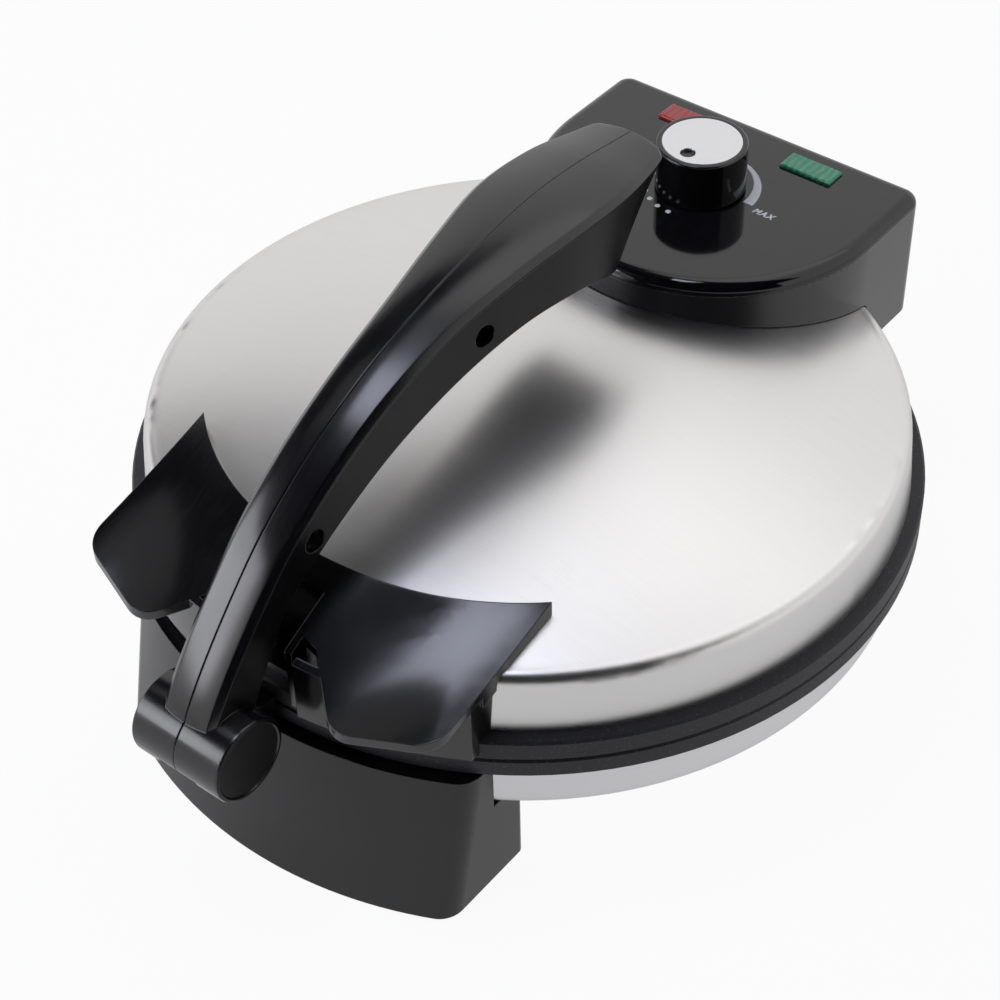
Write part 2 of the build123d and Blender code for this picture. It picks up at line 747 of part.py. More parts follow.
lid_clear = lid_block(running_gap)
wing_outline = extrude(wing_plan(0, wing_back_radius, wing_rounding), amount=box_top)
wing_inside = extrude(
    wing_plan(bracket_wall, wing_back_radius + bracket_wall, wing_rounding - bracket_wall), amount=box_top
)
lip_end_y = wing_corner_y - wing_tip_rounding
overhang = Pos(0, axis_y + lip_end_y, 0) * Box(4 * plate_radius, -wing_front - wing_back_radius, 2 * box_top)

bracket_web = 22.0  # depth of the webs behind the front wall
bracket_web_y = -sqrt(bracket_inner_radius**2 - foot_half_width**2)

with BuildPart() as bracket_wall_ring:
    with BuildSketch(level(bracket_bottom)):
        Circle(bracket_radius)
        Circle(bracket_inner_radius, mode=Mode.SUBTRACT)
        with Locations(((bracket_opening + foot_half_width) / 2, -bracket_radius)):
            Rectangle(foot_half_width - bracket_opening, 2 * bracket_radius, mode=Mode.INTERSECT)
    extrude(amount=box_top - bracket_bottom)
    with BuildSketch(level(bracket_bottom)):
        with Locations((foot_half_width - bracket_wall / 2, bracket_web_y)):
            Rectangle(bracket_wall, bracket_web)
        with Locations((lever_notch + bracket_wall / 2, bracket_web_y - bracket_web)):
            Rectangle(bracket_wall, 2 * bracket_web)
        Circle(bracket_inner_radius, mode=Mode.INTERSECT)
        with Locations((bracket_screw_x, bracket_screw_y)):
            Circle(bracket_boss_radius)
    extrude(amount=box_top - bracket_bottom)

with BuildPart() as front_bracket:
    add(wing_block(wing_thickness) & wing_outline)
    add(wing_block(wing_lip) & (wing_outline - wing_inside - overhang))
    add(wing_block(box_top) & bracket_wall_ring.part)
    mirror(about=Plane.YZ)
    add(lid_clear, mode=Mode.SUBTRACT)
    with BuildSketch(level(seam_height)):
        Circle(plate_radius + running_gap)
    extrude(amount=upper_rim + running_gap, mode=Mode.SUBTRACT)
    with BuildSketch(level(edge_height)):
        with Locations((-bracket_screw_x, bracket_screw_y), (bracket_screw_x, bracket_screw_y)):
            Circle(screw_radius + hole_fit)
    extrude(amount=bracket_hole_top - edge_height, mode=Mode.SUBTRACT)
front_bracket.part.label = "front_bracket"
export_step(front_bracket.part, "parts/front_bracket.step")

# ---------------------------------------------------------------- control box and panel
# Moulded box with a round front that follows the dome; its back hangs behind the lid and ends in two
# knuckles on the hinge pins. A separate panel closes it on top.
spindle_hole = 4.8  # radius of the panel's hole for the thermostat's neck
box_boss_radius = 4.0


def box_block(inset, bottom, top):
    """A block with the box's D-shaped outline, drawn inside it by inset, between two heights."""
    with BuildPart() as block:
        with BuildSketch(level(bottom)) as plan:
            with Locations((0, box_arc_y)):
                Circle(box_half_width - inset)
            with Locations((0, (box_arc_y + box_back) / 2)):
                Rectangle(2 * (box_half_width - inset), box_back - box_arc_y)
            with Locations((0, box_back + box_half_width / 2 - inset)):
                Rectangle(2 * box_half_width, box_half_width, mode=Mode.SUBTRACT)
            fillet(plan.vertices().group_by(Axis.Y)[-1], box_corner - inset)
        extrude(amount=top - bottom)
    return block.part


with BuildPart() as control_box:
    add(box_block(0, box_bottom, panel_bottom))
    add(box_block(box_wall, box_bottom + box_wall, panel_bottom), mode=Mode.SUBTRACT)
    with BuildSketch(level(box_bottom)):
        with Locations((-box_boss_x, box_boss_y), (box_boss_x, box_boss_y)):
            Circle(box_boss_radius)
    extrude(amount=panel_bottom - box_bottom)
    add(lid_clear, mode=Mode.SUBTRACT)
    with BuildSketch(level(box_bottom)):
        with Locations((-box_boss_x, box_boss_y), (box_boss_x, box_boss_y)):
            Circle(screw_radius + hole_fit)
    extrude(amount=panel_bottom - box_bottom - box_wall, mode=Mode.SUBTRACT)
    for left_x in (-knuckle_outer, knuckle_inner):
        with BuildSketch(side_at(left_x)):
            with Locations((hinge_y, hinge_height)):
                Circle(knuckle_radius)
            with BuildLine():
                Polyline(
                    (hinge_y - knuckle_radius, box_bottom + box_wall),
                    (hinge_y - knuckle_radius, hinge_height),
                    (hinge_y + knuckle_radius, hinge_height),
                    (hinge_y + knuckle_radius, box_bottom + box_wall),
                    close=True,
                )
            make_face()
            with Locations((hinge_y, hinge_height)):
                Circle(hinge_pin_radius + hole_fit, mode=Mode.SUBTRACT)
        extrude(amount=ear_width)
control_box.part.label = "control_box"
export_step(control_box.part, "parts/control_box.step")

with BuildPart() as control_panel:
    add(box_block(0, panel_bottom, box_top))
    fillet(control_panel.edges().group_by(Axis.Z)[-1], panel_edge)
    with BuildSketch(level(panel_bottom)):
        with Locations((0, knob_y)):
            Circle(spindle_hole)
        with Locations((-lamp_x, lamp_y), (lamp_x, lamp_y)):
            Rectangle(lamp_length + 2 * hole_fit, lamp_width + 2 * hole_fit)
    extrude(amount=panel_thickness, mode=Mode.SUBTRACT)
control_panel.part.label = "control_panel"
export_step(control_panel.part, "parts/control_panel.step")

# ---------------------------------------------------------------- lamps
# Moulded lenses pushed up through the panel, with a flange below it, over glow lamps.
lens_flange = 1.5
glow_radius = 2.5
glow_length = 9.0

with BuildPart() as green_lamp:
    with BuildSketch(level(panel_bottom)):
        with Locations((lamp_x, lamp_y)):
            Rectangle(lamp_length, lamp_width)
    extrude(amount=panel_thickness + lamp_stand)
    fillet(green_lamp.edges().group_by(Axis.Z)[-1], 0.8)
    with BuildSketch(level(panel_bottom)):
        with Locations((lamp_x, lamp_y)):
            Rectangle(lamp_length + 2 * lens_flange, lamp_width + 2 * lens_flange)
    extrude(amount=-lens_flange)
green_lamp.part.label = "green_lamp"
export_step(green_lamp.part, "parts/green_lamp.step")

with BuildPart() as red_lamp:
    mirror(green_lamp.part, about=Plane.YZ)
red_lamp.part.label = "red_lamp"
export_step(red_lamp.part, "parts/red_lamp.step")

with BuildPart() as glow_lamps:
    with BuildSketch(level(panel_bottom - lens_flange)):
        with Locations((-lamp_x, lamp_y), (lamp_x, lamp_y)):
            Circle(glow_radius)
    extrude(amount=-glow_length)
    fillet(glow_lamps.edges().filter_by(GeomType.CIRCLE).group_by(Axis.Z)[0], 1.5)
glow_lamps.part.label = "glow_lamps"
export_step(glow_lamps.part, "parts/glow_lamps.step")

# ---------------------------------------------------------------- thermostat and knob
thermostat_bottom = 105.0
thermostat_width = 30.0
neck_radius = 4.5
neck_top = 127.0
nut_radius = 6.5
nut_thickness = 2.4
spindle_top = 137.5
knob_cavity = 8.5
cavity_top = 129.0
knob_edge = 0.8

with BuildPart() as thermostat:
    with BuildSketch(level(thermostat_bottom)):
        with Locations((0, knob_y)):
            RectangleRounded(thermostat_width, thermostat_width, 2)
    extrude(amount=panel_bottom - thermostat_bottom)
    with BuildSketch(level(panel_bottom)):
        with Locations((0, knob_y)):
            Circle(neck_radius)
    extrude(amount=neck_top - panel_bottom)
    with BuildSketch(level(neck_top)):
        with Locations((0, knob_y)):
            Circle(spindle_radius + hole_fit)
    extrude(amount=thermostat_bottom + box_wall - neck_top, mode=Mode.SUBTRACT)
thermostat.part.label = "thermostat"
export_step(thermostat.part, "parts/thermostat.step")

with BuildPart() as thermostat_nut:
    with BuildSketch(level(box_top)):
        with Locations((0, knob_y)):
            RegularPolygon(nut_radius, 6)
            Circle(neck_radius + hole_fit, mode=Mode.SUBTRACT)
    extrude(amount=nut_thickness)
thermostat_nut.part.label = "thermostat_nut"
export_step(thermostat_nut.part, "parts/thermostat_nut.step")

with BuildPart() as thermostat_spindle:
    with BuildSketch(level(thermostat_bottom + box_wall + hole_fit)):
        with Locations((0, knob_y)):
            Circle(spindle_radius)
    extrude(amount=spindle_top - thermostat_bottom - box_wall - hole_fit)
    with BuildSketch(level(neck_top + 1)):
        with Locations((0, knob_y - 2 * spindle_radius + 0.8)):
            Rectangle(2 * spindle_radius, 2 * spindle_radius)
    extrude(amount=spindle_top - neck_top, mode=Mode.SUBTRACT)
thermostat_spindle.part.label = "thermostat_spindle"
export_step(thermostat_spindle.part, "parts/thermostat_spindle.step")

with BuildPart() as knob:
    with BuildSketch(level(knob_bottom)):
        with Locations((0, knob_y)):
            Circle(knob_radius)
    extrude(amount=knob_top - knob_bottom)
    fillet(knob.edges().filter_by(GeomType.CIRCLE).group_by(Axis.Z)[-1], knob_edge)
    with BuildSketch(level(knob_top)):
        with Locations((0, knob_y)):
            Circle(cap_radius + hole_fit)
    extrude(amount=-cap_thickness, mode=Mode.SUBTRACT)
    with BuildSketch(level(knob_bottom)):
        with Locations((0, knob_y)):
            Circle(knob_cavity)
    extrude(amount=cavity_top - knob_bottom, mode=Mode.SUBTRACT)
    with BuildSketch(level(cavity_top)):
        with Locations((0, knob_y)):
            Circle(spindle_radius + hole_fit)
        with Locations((0, knob_y - 2 * spindle_radius + 0.8 - hole_fit)):
            Rectangle(2 * spindle_radius, 2 * spindle_radius, mode=Mode.SUBTRACT)
    extrude(amount=spindle_top + hole_fit - cavity_top, mode=Mode.SUBTRACT)
knob.part.label = "knob"
export_step(knob.part, "parts/knob.step")

with BuildPart() as knob_cap:
    with BuildSketch(level(knob_top)):
        with Locations((0, knob_y)):
            Circle(cap_radius)
        with Locations((0, knob_y - pointer_offset)):
            Circle(pointer_radius, mode=Mode.SUBTRACT)
    extrude(amount=-cap_thickness)
knob_cap.part.label = "knob_cap"
export_step(knob_cap.part, "parts/knob_cap.step")

# ---------------------------------------------------------------- lid fasteners
# Screws driven from inside the shell up into the bosses of the bracket and of the control box.
with BuildPart() as lid_screws:
    for x, y in lid_screw_places:
        seat = dome_height(sqrt(x**2 + y**2) + screw_head_radius) - lid_wall - hole_fit
        with BuildSketch(level(seat)):
            with Locations((x, y)):
                Circle(screw_radius)
        extrude(amount=lid_wall + 3.0)
        with BuildSketch(level(seat)):
            with Locations((x, y)):
                Circle(screw_head_radius)
        extrude(amount=-screw_head_height)
lid_screws.part.label = "lid_screws"
export_step(lid_screws.part, "parts/lid_screws.step")

# ---------------------------------------------------------------- pressing lever
# Two moulded half shells that meet in the middle; each section runs from the underside to the ridge.
# (underside y, underside z), (ridge y, ridge z), half width below, half width above, crown
lever_stations = (
    ((-152.5, 67.0), (-170.0, 70.0), 10.6, 10.6, 0.6),
    ((-147.0, 77.5), (-167.1, 80.5), 10.6, 10.6, 0.6),
    ((-138.5, 92.0), (-157.1, 95.3), 10.6, 10.6, 0.6),
    ((-130.5, 104.0), (-141.5, 113.6), 10.7, 10.6, 0.7),
    ((-118.5, 113.0), (-126.0, 129.0), 11.0, 10.8, 0.8),
    ((-95.8, 125.6), (-104.5, 143.4), 12.2, 11.8, 1.0),
    ((-75.0, 134.6), (-80.5, 155.0), 13.8, 13.4, 1.4),
    ((-46.0, 145.3), (-50.0, 165.0), 15.2, 14.8, 2.0),
    ((-20.0, 150.8), (-20.0, 171.2), 17.2, 16.6, 2.8),
    ((5.0, 146.3), (5.0, 174.0), 20.8, 20.2, 4.0),
    ((19.0, 141.6), (27.0, 172.6), 21.4, 19.6, 4.4),
    ((28.0, 138.6), (47.0, 169.9), 20.0, 14.6, 3.0),
    ((30.5, 138.0), (56.0, 167.4), 18.0, 11.5, 2.0),
)
lever_edge = 1.8
lever_seam = 0.3
lever_screws_at = ((-116.2, 122.0), (-39.3, 152.5))  # centres of the two joining screws
lever_boss_radius = 5.2
lever_recess_radius = 3.9
lever_head_x = 5.0


slot_half_width = lug_half_width + running_gap
slot_radius = lug_radius + running_gap
barrel_chamfer = 1.0
lever_screw_length = 13.0
lever_screw_head = 2.0


def lever_section(station, inset, edge, seam):
    """Right half of a section across the lever, drawn inside the moulding by inset, with its upper edge
    rounded and the two corners on the parting face broken by seam."""
    (low_y, low_z), (high_y, high_z), low_half, high_half, crown = station
    run = Vector(0, high_y - low_y, high_z - low_z)
    height = run.length - inset
    shoulder = (high_half - inset, height - crown)
    plane = Plane((0, low_y + axis_y, low_z), x_dir=(1, 0, 0), z_dir=Vector(1, 0, 0).cross(run))
    with BuildSketch(plane) as profile:
        with BuildLine():
            Polyline((0, height), (0, inset), (low_half - inset, inset), shoulder)
            ThreePointArc(shoulder, (shoulder[0] / 2, height - crown / 4), (0, height))
        make_face()
        fillet(profile.vertices().filter_by_position(Axis.X, 1, plate_radius).sort_by(Axis.Z)[-1:], edge)
        chamfer(profile.vertices().filter_by_position(Axis.X, -seam, seam), seam)
    return profile.sketch


with BuildPart() as lever_core:
    for station in lever_stations[2:-1]:
        add(lever_section(station, lever_wall, lever_wall / 4, lever_seam))
    loft()
    with BuildSketch(side):
        with Locations(*lever_screws_at):
            Circle(lever_boss_radius)
    extrude(amount=2 * barrel_radius, mode=Mode.SUBTRACT)

with BuildPart() as lever_half:
    for station in lever_stations:
        add(lever_section(station, 0, lever_edge, lever_seam))
    loft()
    add(lever_core.part, mode=Mode.SUBTRACT)
    with BuildSketch(side):
        with Locations((barrel_y, barrel_height)):
            Circle(barrel_radius)
    extrude(amount=barrel_half_length)
    chamfer(lever_half.edges().filter_by(GeomType.CIRCLE).group_by(Axis.X)[-1], barrel_chamfer)
    with BuildSketch(side):
        with Locations((barrel_y, barrel_height)):
            Circle(slot_radius)
        with BuildLine():
            reach = 2 * barrel_radius
            slot_start = lug_angle + slot_margin
            slot_turn = lever_swing + 2 * slot_start
            rays = [slot_start - step * slot_turn / 3 for step in range(4)]
            tips = [(barrel_y + reach * cos(radians(a)), barrel_height + reach * sin(radians(a))) for a in rays]
            Polyline((barrel_y, barrel_height), *tips, close=True)
        make_face()
    extrude(amount=slot_half_width, mode=Mode.SUBTRACT)
    with BuildSketch(side):
        with Locations((barrel_y, barrel_height)):
            Circle(lever_pin_radius + hole_fit)
    extrude(amount=lever_pin_half_length + running_gap, mode=Mode.SUBTRACT)

with BuildPart() as lever_right:
    add(lever_half.part)
    with BuildSketch(side_at(lever_head_x)):
        with Locations(*lever_screws_at):
            Circle(lever_recess_radius)
    extrude(amount=barrel_radius, mode=Mode.SUBTRACT)
    with BuildSketch(side):
        with Locations(*lever_screws_at):
            Circle(lever_screw_radius + hole_fit)
    extrude(amount=lever_head_x, mode=Mode.SUBTRACT)
lever_right.part.label = "lever_right"
export_step(lever_right.part, "parts/lever_right.step")

with BuildPart() as lever_left:
    mirror(lever_half.part, about=Plane.YZ)
    with BuildSketch(side):
        with Locations(*lever_screws_at):
            Circle(lever_screw_radius + hole_fit)
    extrude(amount=lever_head_x - lever_screw_length - running_gap, mode=Mode.SUBTRACT)
lever_left.part.label = "lever_left"
export_step(lever_left.part, "parts/lever_left.step")

with BuildPart() as lever_screws:
    with BuildSketch(side_at(lever_head_x)):
        with Locations(*lever_screws_at):
            Circle(lever_screw_radius)
    extrude(amount=-lever_screw_length)
    with BuildSketch(side_at(lever_head_x)):
        with Locations(*lever_screws_at):
            Circle(lever_recess_radius - running_gap)
    extrude(amount=lever_screw_head)
    chamfer(lever_screws.edges().filter_by(GeomType.CIRCLE).group_by(Axis.X)[-1], 0.5)
lever_screws.part.label = "lever_screws"
export_step(lever_screws.part, "parts/lever_screws.step")
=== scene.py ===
"""Electric roti maker: finishes, printed dial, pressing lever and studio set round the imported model.

Metres. The lever's hinge is in front (-Y), the control box behind (+Y), Z is up from the worktop.
The sections follow the order in which the appliance is put together.
"""

from math import cos, pi, radians, sin

import bmesh
import bpy
from mathutils import Matrix, Vector


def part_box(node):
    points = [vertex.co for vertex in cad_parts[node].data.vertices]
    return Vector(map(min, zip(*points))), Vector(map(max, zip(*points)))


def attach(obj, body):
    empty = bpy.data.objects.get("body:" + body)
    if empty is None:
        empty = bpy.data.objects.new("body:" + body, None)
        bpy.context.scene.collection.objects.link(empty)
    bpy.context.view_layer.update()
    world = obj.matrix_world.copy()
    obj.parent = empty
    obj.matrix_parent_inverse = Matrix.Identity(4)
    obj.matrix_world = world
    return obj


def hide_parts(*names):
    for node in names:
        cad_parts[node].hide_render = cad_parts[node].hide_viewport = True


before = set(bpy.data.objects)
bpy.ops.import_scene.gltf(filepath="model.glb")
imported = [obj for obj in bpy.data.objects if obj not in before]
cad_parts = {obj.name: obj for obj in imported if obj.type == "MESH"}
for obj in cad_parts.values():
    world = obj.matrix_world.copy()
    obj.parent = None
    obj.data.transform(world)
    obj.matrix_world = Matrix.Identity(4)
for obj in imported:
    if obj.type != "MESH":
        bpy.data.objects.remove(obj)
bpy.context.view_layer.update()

# ---------------------------------------------------------------- base pan
# Deep-drawn stainless pan that closes the appliance below the lower plate. Its wall is brushed on a
# turntable, so the scratches run round it, and its flat bottom keeps the straight grain of the sheet.
pan_low, pan_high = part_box("base_pan")
plates_axis_y = (pan_low.y + pan_high.y) / 2
scratch_width = 0.0004
sheet_scratch_length = 0.025
ring_scratches_per_radian = 4.0
handling_patch = 1 / 14
rolled_edge_radius = 0.003


def linear(code):
    """Linear colour of an sRGB hex colour."""
    shares = [int(code[place : place + 2], 16) / 255 for place in (1, 3, 5)]
    return [s / 12.92 if s <= 0.04045 else ((s + 0.055) / 1.055) ** 2.4 for s in shares] + [1.0]


def add_node(material, kind, inputs, **settings):
    """Adds a shader node with its settings; each input gets a value, or the socket that feeds it."""
    node = material.node_tree.nodes.new(kind)
    for name, value in settings.items():
        setattr(node, name, value)
    for name, value in inputs.items():
        if isinstance(value, bpy.types.NodeSocket):
            material.node_tree.links.new(value, node.inputs[name])
        else:
            node.inputs[name].default_value = value
    return node


def new_finish(name):
    """A material without nodes."""
    material = bpy.data.materials.new(name)
    material.use_nodes = True
    material.node_tree.nodes.clear()
    return material


def close_finish(material, inputs):
    """Ends a material with the shader that takes these inputs."""
    shader = add_node(material, "ShaderNodeBsdfPrincipled", inputs)
    add_node(material, "ShaderNodeOutputMaterial", {"Surface": shader.outputs[0]})


def brushed_stainless(name, dark, pale, smooth, rough):
    """Stainless sheet: metal with fine scratches that draw every highlight out across them. On flat
    places the scratches run straight across the appliance, on steep walls they run round it. The
    real ones are under 0.1 mm wide; they are drawn 0.4 mm wide so that they show."""
    material = new_finish(name)
    place = add_node(material, "ShaderNodeTexCoord", {})
    centred = add_node(
        material,
        "ShaderNodeVectorMath",
        {0: place.outputs["Object"], 1: (0, -plates_axis_y, 0)},
        operation="ADD",
    )
    along = add_node(material, "ShaderNodeSeparateXYZ", {0: centred.outputs[0]})
    turn = add_node(
        material,
        "ShaderNodeMath",
        {0: along.outputs["Y"], 1: along.outputs["X"]},
        operation="ARCTAN2",
    )
    unrolled = add_node(
        material, "ShaderNodeCombineXYZ", {"X": turn.outputs[0], "Y": along.outputs["Z"]}
    )
    facing = add_node(material, "ShaderNodeSeparateXYZ", {0: place.outputs["Normal"]})
    steep = add_node(material, "ShaderNodeMath", {0: facing.outputs["Z"]}, operation="ABSOLUTE")
    flat = add_node(
        material,
        "ShaderNodeMapRange",
        {"Value": steep.outputs[0], "From Min": 0.45, "From Max": 0.85},
    )
    ring_way = add_node(
        material,
        "ShaderNodeMapping",
        {
            "Vector": unrolled.outputs[0],
            "Scale": (ring_scratches_per_radian, 1 / scratch_width, 1.0),
        },
    )
    sheet_way = add_node(
        material,
        "ShaderNodeMapping",
        {"Vector": centred.outputs[0], "Scale": (1 / sheet_scratch_length, 1 / scratch_width, 1.0)},
    )
    ring_scratches = add_node(
        material, "ShaderNodeTexNoise", {"Vector": ring_way.outputs[0], "Scale": 1.0, "Detail": 2.0}
    )
    sheet_scratches = add_node(
        material,
        "ShaderNodeTexNoise",
        {"Vector": sheet_way.outputs[0], "Scale": 1.0, "Detail": 2.0},
    )
    scratches = add_node(
        material,
        "ShaderNodeMix",
        {0: flat.outputs[0], 2: ring_scratches.outputs[0], 3: sheet_scratches.outputs[0]},
    )
    handling = add_node(
        material,
        "ShaderNodeTexNoise",
        {"Vector": centred.outputs[0], "Scale": 1 / handling_patch, "Detail": 3.0},
    )
    tone = add_node(
        material,
        "ShaderNodeMix",
        {0: scratches.outputs[0], 6: linear(dark), 7: linear(pale)},
        data_type="RGBA",
    )
    worn = add_node(
        material,
        "ShaderNodeMath",
        {0: scratches.outputs[0], 1: handling.outputs[0]},
        operation="ADD",
    )
    dullness = add_node(
        material,
        "ShaderNodeMapRange",
        {
            "Value": worn.outputs[0],
            "From Min": 0.6,
            "From Max": 1.4,
            "To Min": smooth,
            "To Max": rough,
        },
    )
    rolled_edge = add_node(material, "ShaderNodeBevel", {"Radius": rolled_edge_radius}, samples=8)
    relief = add_node(
        material,
        "ShaderNodeBump",
        {
            "Height": scratches.outputs[0],
            "Strength": 0.04,
            "Distance": 0.00002,
            "Normal": rolled_edge.outputs[0],
        },
    )
    round_way = add_node(material, "ShaderNodeTangent", {}, direction_type="RADIAL", axis="Z")
    ground = add_node(material, "ShaderNodeNewGeometry", {})
    cross_way = add_node(
        material,
        "ShaderNodeVectorMath",
        {0: (0, 1, 0), 1: ground.outputs["Normal"]},
        operation="CROSS_PRODUCT",
    )
    grain_way = add_node(
        material,
        "ShaderNodeMix",
        {0: flat.outputs[0], 4: round_way.outputs[0], 5: cross_way.outputs[0]},
        data_type="VECTOR",
    )
    close_finish(
        material,
        {
            "Base Color": tone.outputs[2],
            "Metallic": 1.0,
            "Roughness": dullness.outputs[0],
            "Anisotropic": 0.5,
            "Anisotropic Rotation": 0.25,
            "Tangent": grain_way.outputs[1],
            "Normal": relief.outputs[0],
        },
    )
    return material


def finish(node, material, edge=0.0):
    """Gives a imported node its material, and rounds its sharp edges a little where edge is set."""
    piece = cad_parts[node]
    piece.data.materials.clear()
    piece.data.materials.append(material)
    if edge:
        joined = piece.modifiers.new("joined_corners", "WELD")
        joined.merge_threshold = 0.000002
        broken = piece.modifiers.new("broken_edge", "BEVEL")
        broken.width = edge
        broken.segments = 2
        broken.limit_method = "ANGLE"
        broken.angle_limit = radians(30)
        broken.harden_normals = True


pan_stainless = brushed_stainless("brushed_stainless_pan", "#D2D1D3", "#DEDDDF", 0.28, 0.4)
finish("base_pan", pan_stainless)

# ---------------------------------------------------------------- cooking plates
# Two cast aluminium plates, sprayed with a black non-stick coat. The cast skin shows through the coat
# as a fine grit, and small pale specks are painted into its colour as glints off that grit.
grit_width = 0.0009
glint_spacing = 0.0016
coat = new_finish("sprayed_nonstick_on_cast_aluminium")
coat_place = add_node(coat, "ShaderNodeTexCoord", {})
grit = add_node(
    coat,
    "ShaderNodeTexNoise",
    {"Vector": coat_place.outputs["Object"], "Scale": 1 / grit_width, "Detail": 2.0},
)
# Pale specks painted into the coat's colour: painted glints, not flakes of the coat.
glint_cells = add_node(
    coat,
    "ShaderNodeTexVoronoi",
    {"Vector": coat_place.outputs["Object"], "Scale": 1 / glint_spacing},
)
painted_glint = add_node(
    coat,
    "ShaderNodeMapRange",
    {
        "Value": glint_cells.outputs["Distance"],
        "From Min": 0.10,
        "From Max": 0.22,
        "To Min": 0.55,
        "To Max": 0.0,
    },
)
cloud = add_node(
    coat,
    "ShaderNodeMix",
    {0: grit.outputs[0], 6: linear("#1D1D20"), 7: linear("#333338")},
    data_type="RGBA",
)
grit_and_painted_glints = add_node(
    coat,
    "ShaderNodeMix",
    {0: painted_glint.outputs[0], 6: cloud.outputs[2], 7: linear("#5A5A60")},
    data_type="RGBA",
)
coat_relief = add_node(
    coat, "ShaderNodeBump", {"Height": grit.outputs[0], "Strength": 0.5, "Distance": 0.00012}
)
coat_dullness = add_node(
    coat, "ShaderNodeMapRange", {"Value": grit.outputs[0], "To Min": 0.42, "To Max": 0.62}
)
close_finish(
    coat,
    {
        "Base Color": grit_and_painted_glints.outputs[2],
        "Roughness": coat_dullness.outputs[0],
        "IOR": 1.4,
        "Normal": coat_relief.outputs[0],
    },
)
for plate in ("lower_plate", "upper_plate"):
    finish(plate, coat)

# ---------------------------------------------------------------- elements, shields and studs
# Sheathed heating tubes, pressed aluminium shields and zinc-plated studs, all hidden between the plates
# and their covers. Heat has tinted the tubes and shields a little.
heat_patch = 0.03


def heated_metal(name, cold, warm, dullness):
    """Plain metal whose colour drifts in soft patches a few centimetres wide where it has run hot."""
    material = new_finish(name)
    spot = add_node(material, "ShaderNodeTexCoord", {})
    tint = add_node(
        material,
        "ShaderNodeTexNoise",
        {"Vector": spot.outputs["Object"], "Scale": 1 / heat_patch, "Detail": 4.0},
    )
    shade = add_node(
        material,
        "ShaderNodeMix",
        {0: tint.outputs[0], 6: linear(cold), 7: linear(warm)},
        data_type="RGBA",
    )
    matt = add_node(
        material,
        "ShaderNodeMapRange",
        {"Value": tint.outputs[0], "To Min": dullness - 0.08, "To Max": dullness + 0.08},
    )
    close_finish(
        material, {"Base Color": shade.outputs[2], "Metallic": 1.0, "Roughness": matt.outputs[0]}
    )
    return material


sheath_steel = heated_metal("annealed_incoloy_sheath", "#8E8B86", "#6E6258", 0.45)
rolled_aluminium = heated_metal("rolled_aluminium_shield", "#D2D3D5", "#B9B4AC", 0.35)
zinc_plate = heated_metal("zinc_plated_steel", "#B9BCC0", "#A8A9A4", 0.32)
for part in ("lower_element", "upper_element"):
    finish(part, sheath_steel)
for part in ("lower_heat_shield", "upper_heat_shield"):
    finish(part, rolled_aluminium)
for part in ("lower_studs", "upper_studs", "pan_screw", "foot_screws", "cover_screws"):
    finish(part, zinc_plate)

# ---------------------------------------------------------------- front foot and rear housing
# Injection-moulded black phenolic: a dense, half-glossy skin with a faint waviness where it shrank over
# its ribs, and hair-fine scuffs from handling.
shrink_width = 0.024
skin_grain = 0.0011
scuff_size = (0.0005, 0.012, 0.004)
edge_round = 0.0005


def moulded_plastic(name, deep, worn, smooth, rough, wave, scuff, ior):
    """Black moulding. wave is how far the skin rolls over about 12 mm, scuff how much the fine scuffs
    dull it. Real scuffs are about 0.05 mm wide; they are drawn 0.5 mm wide."""
    material = new_finish(name)
    spot = add_node(material, "ShaderNodeTexCoord", {})
    shrink = add_node(
        material,
        "ShaderNodeTexNoise",
        {"Vector": spot.outputs["Object"], "Scale": 1 / shrink_width, "Detail": 1.0},
    )
    grain = add_node(
        material,
        "ShaderNodeTexNoise",
        {"Vector": spot.outputs["Object"], "Scale": 1 / skin_grain, "Detail": 2.0},
    )
    strokes = add_node(
        material,
        "ShaderNodeMapping",
        {
            "Vector": spot.outputs["Object"],
            "Scale": tuple(1 / size for size in scuff_size),
            "Rotation": (0.3, 0.2, 0.6),
        },
    )
    scuffs = add_node(
        material, "ShaderNodeTexNoise", {"Vector": strokes.outputs[0], "Scale": 1.0, "Detail": 2.0}
    )
    rubbed = add_node(
        material,
        "ShaderNodeMapRange",
        {"Value": scuffs.outputs[0], "From Min": 0.45, "From Max": 0.8},
    )
    shade = add_node(
        material,
        "ShaderNodeMix",
        {0: rubbed.outputs[0], 6: linear(deep), 7: linear(worn)},
        data_type="RGBA",
    )
    mixed = add_node(
        material,
        "ShaderNodeMath",
        {0: rubbed.outputs[0], 1: scuff, 2: shrink.outputs[0]},
        operation="MULTIPLY_ADD",
    )
    gloss = add_node(
        material,
        "ShaderNodeMapRange",
        {
            "Value": mixed.outputs[0],
            "From Min": 0.3,
            "From Max": 1.0,
            "To Min": smooth,
            "To Max": rough,
        },
    )
    broken_edge = add_node(material, "ShaderNodeBevel", {"Radius": edge_round}, samples=6)
    rolling = add_node(
        material,
        "ShaderNodeBump",
        {
            "Height": shrink.outputs[0],
            "Strength": 1.0,
            "Distance": wave,
            "Normal": broken_edge.outputs[0],
        },
    )
    skin = add_node(
        material,
        "ShaderNodeBump",
        {
            "Height": grain.outputs[0],
            "Strength": 0.12,
            "Distance": 0.00001,
            "Normal": rolling.outputs[0],
        },
    )
    close_finish(
        material,
        {
            "Base Color": shade.outputs[2],
            "Roughness": gloss.outputs[0],
            "IOR": ior,
            "Normal": skin.outputs[0],
        },
    )
    return material


phenolic = moulded_plastic(
    "moulded_black_phenolic", "#101012", "#18181B", 0.2, 0.27, 0.00002, 0.15, 1.48
)
for part in ("front_foot", "rear_housing", "housing_cover"):
    finish(part, phenolic)

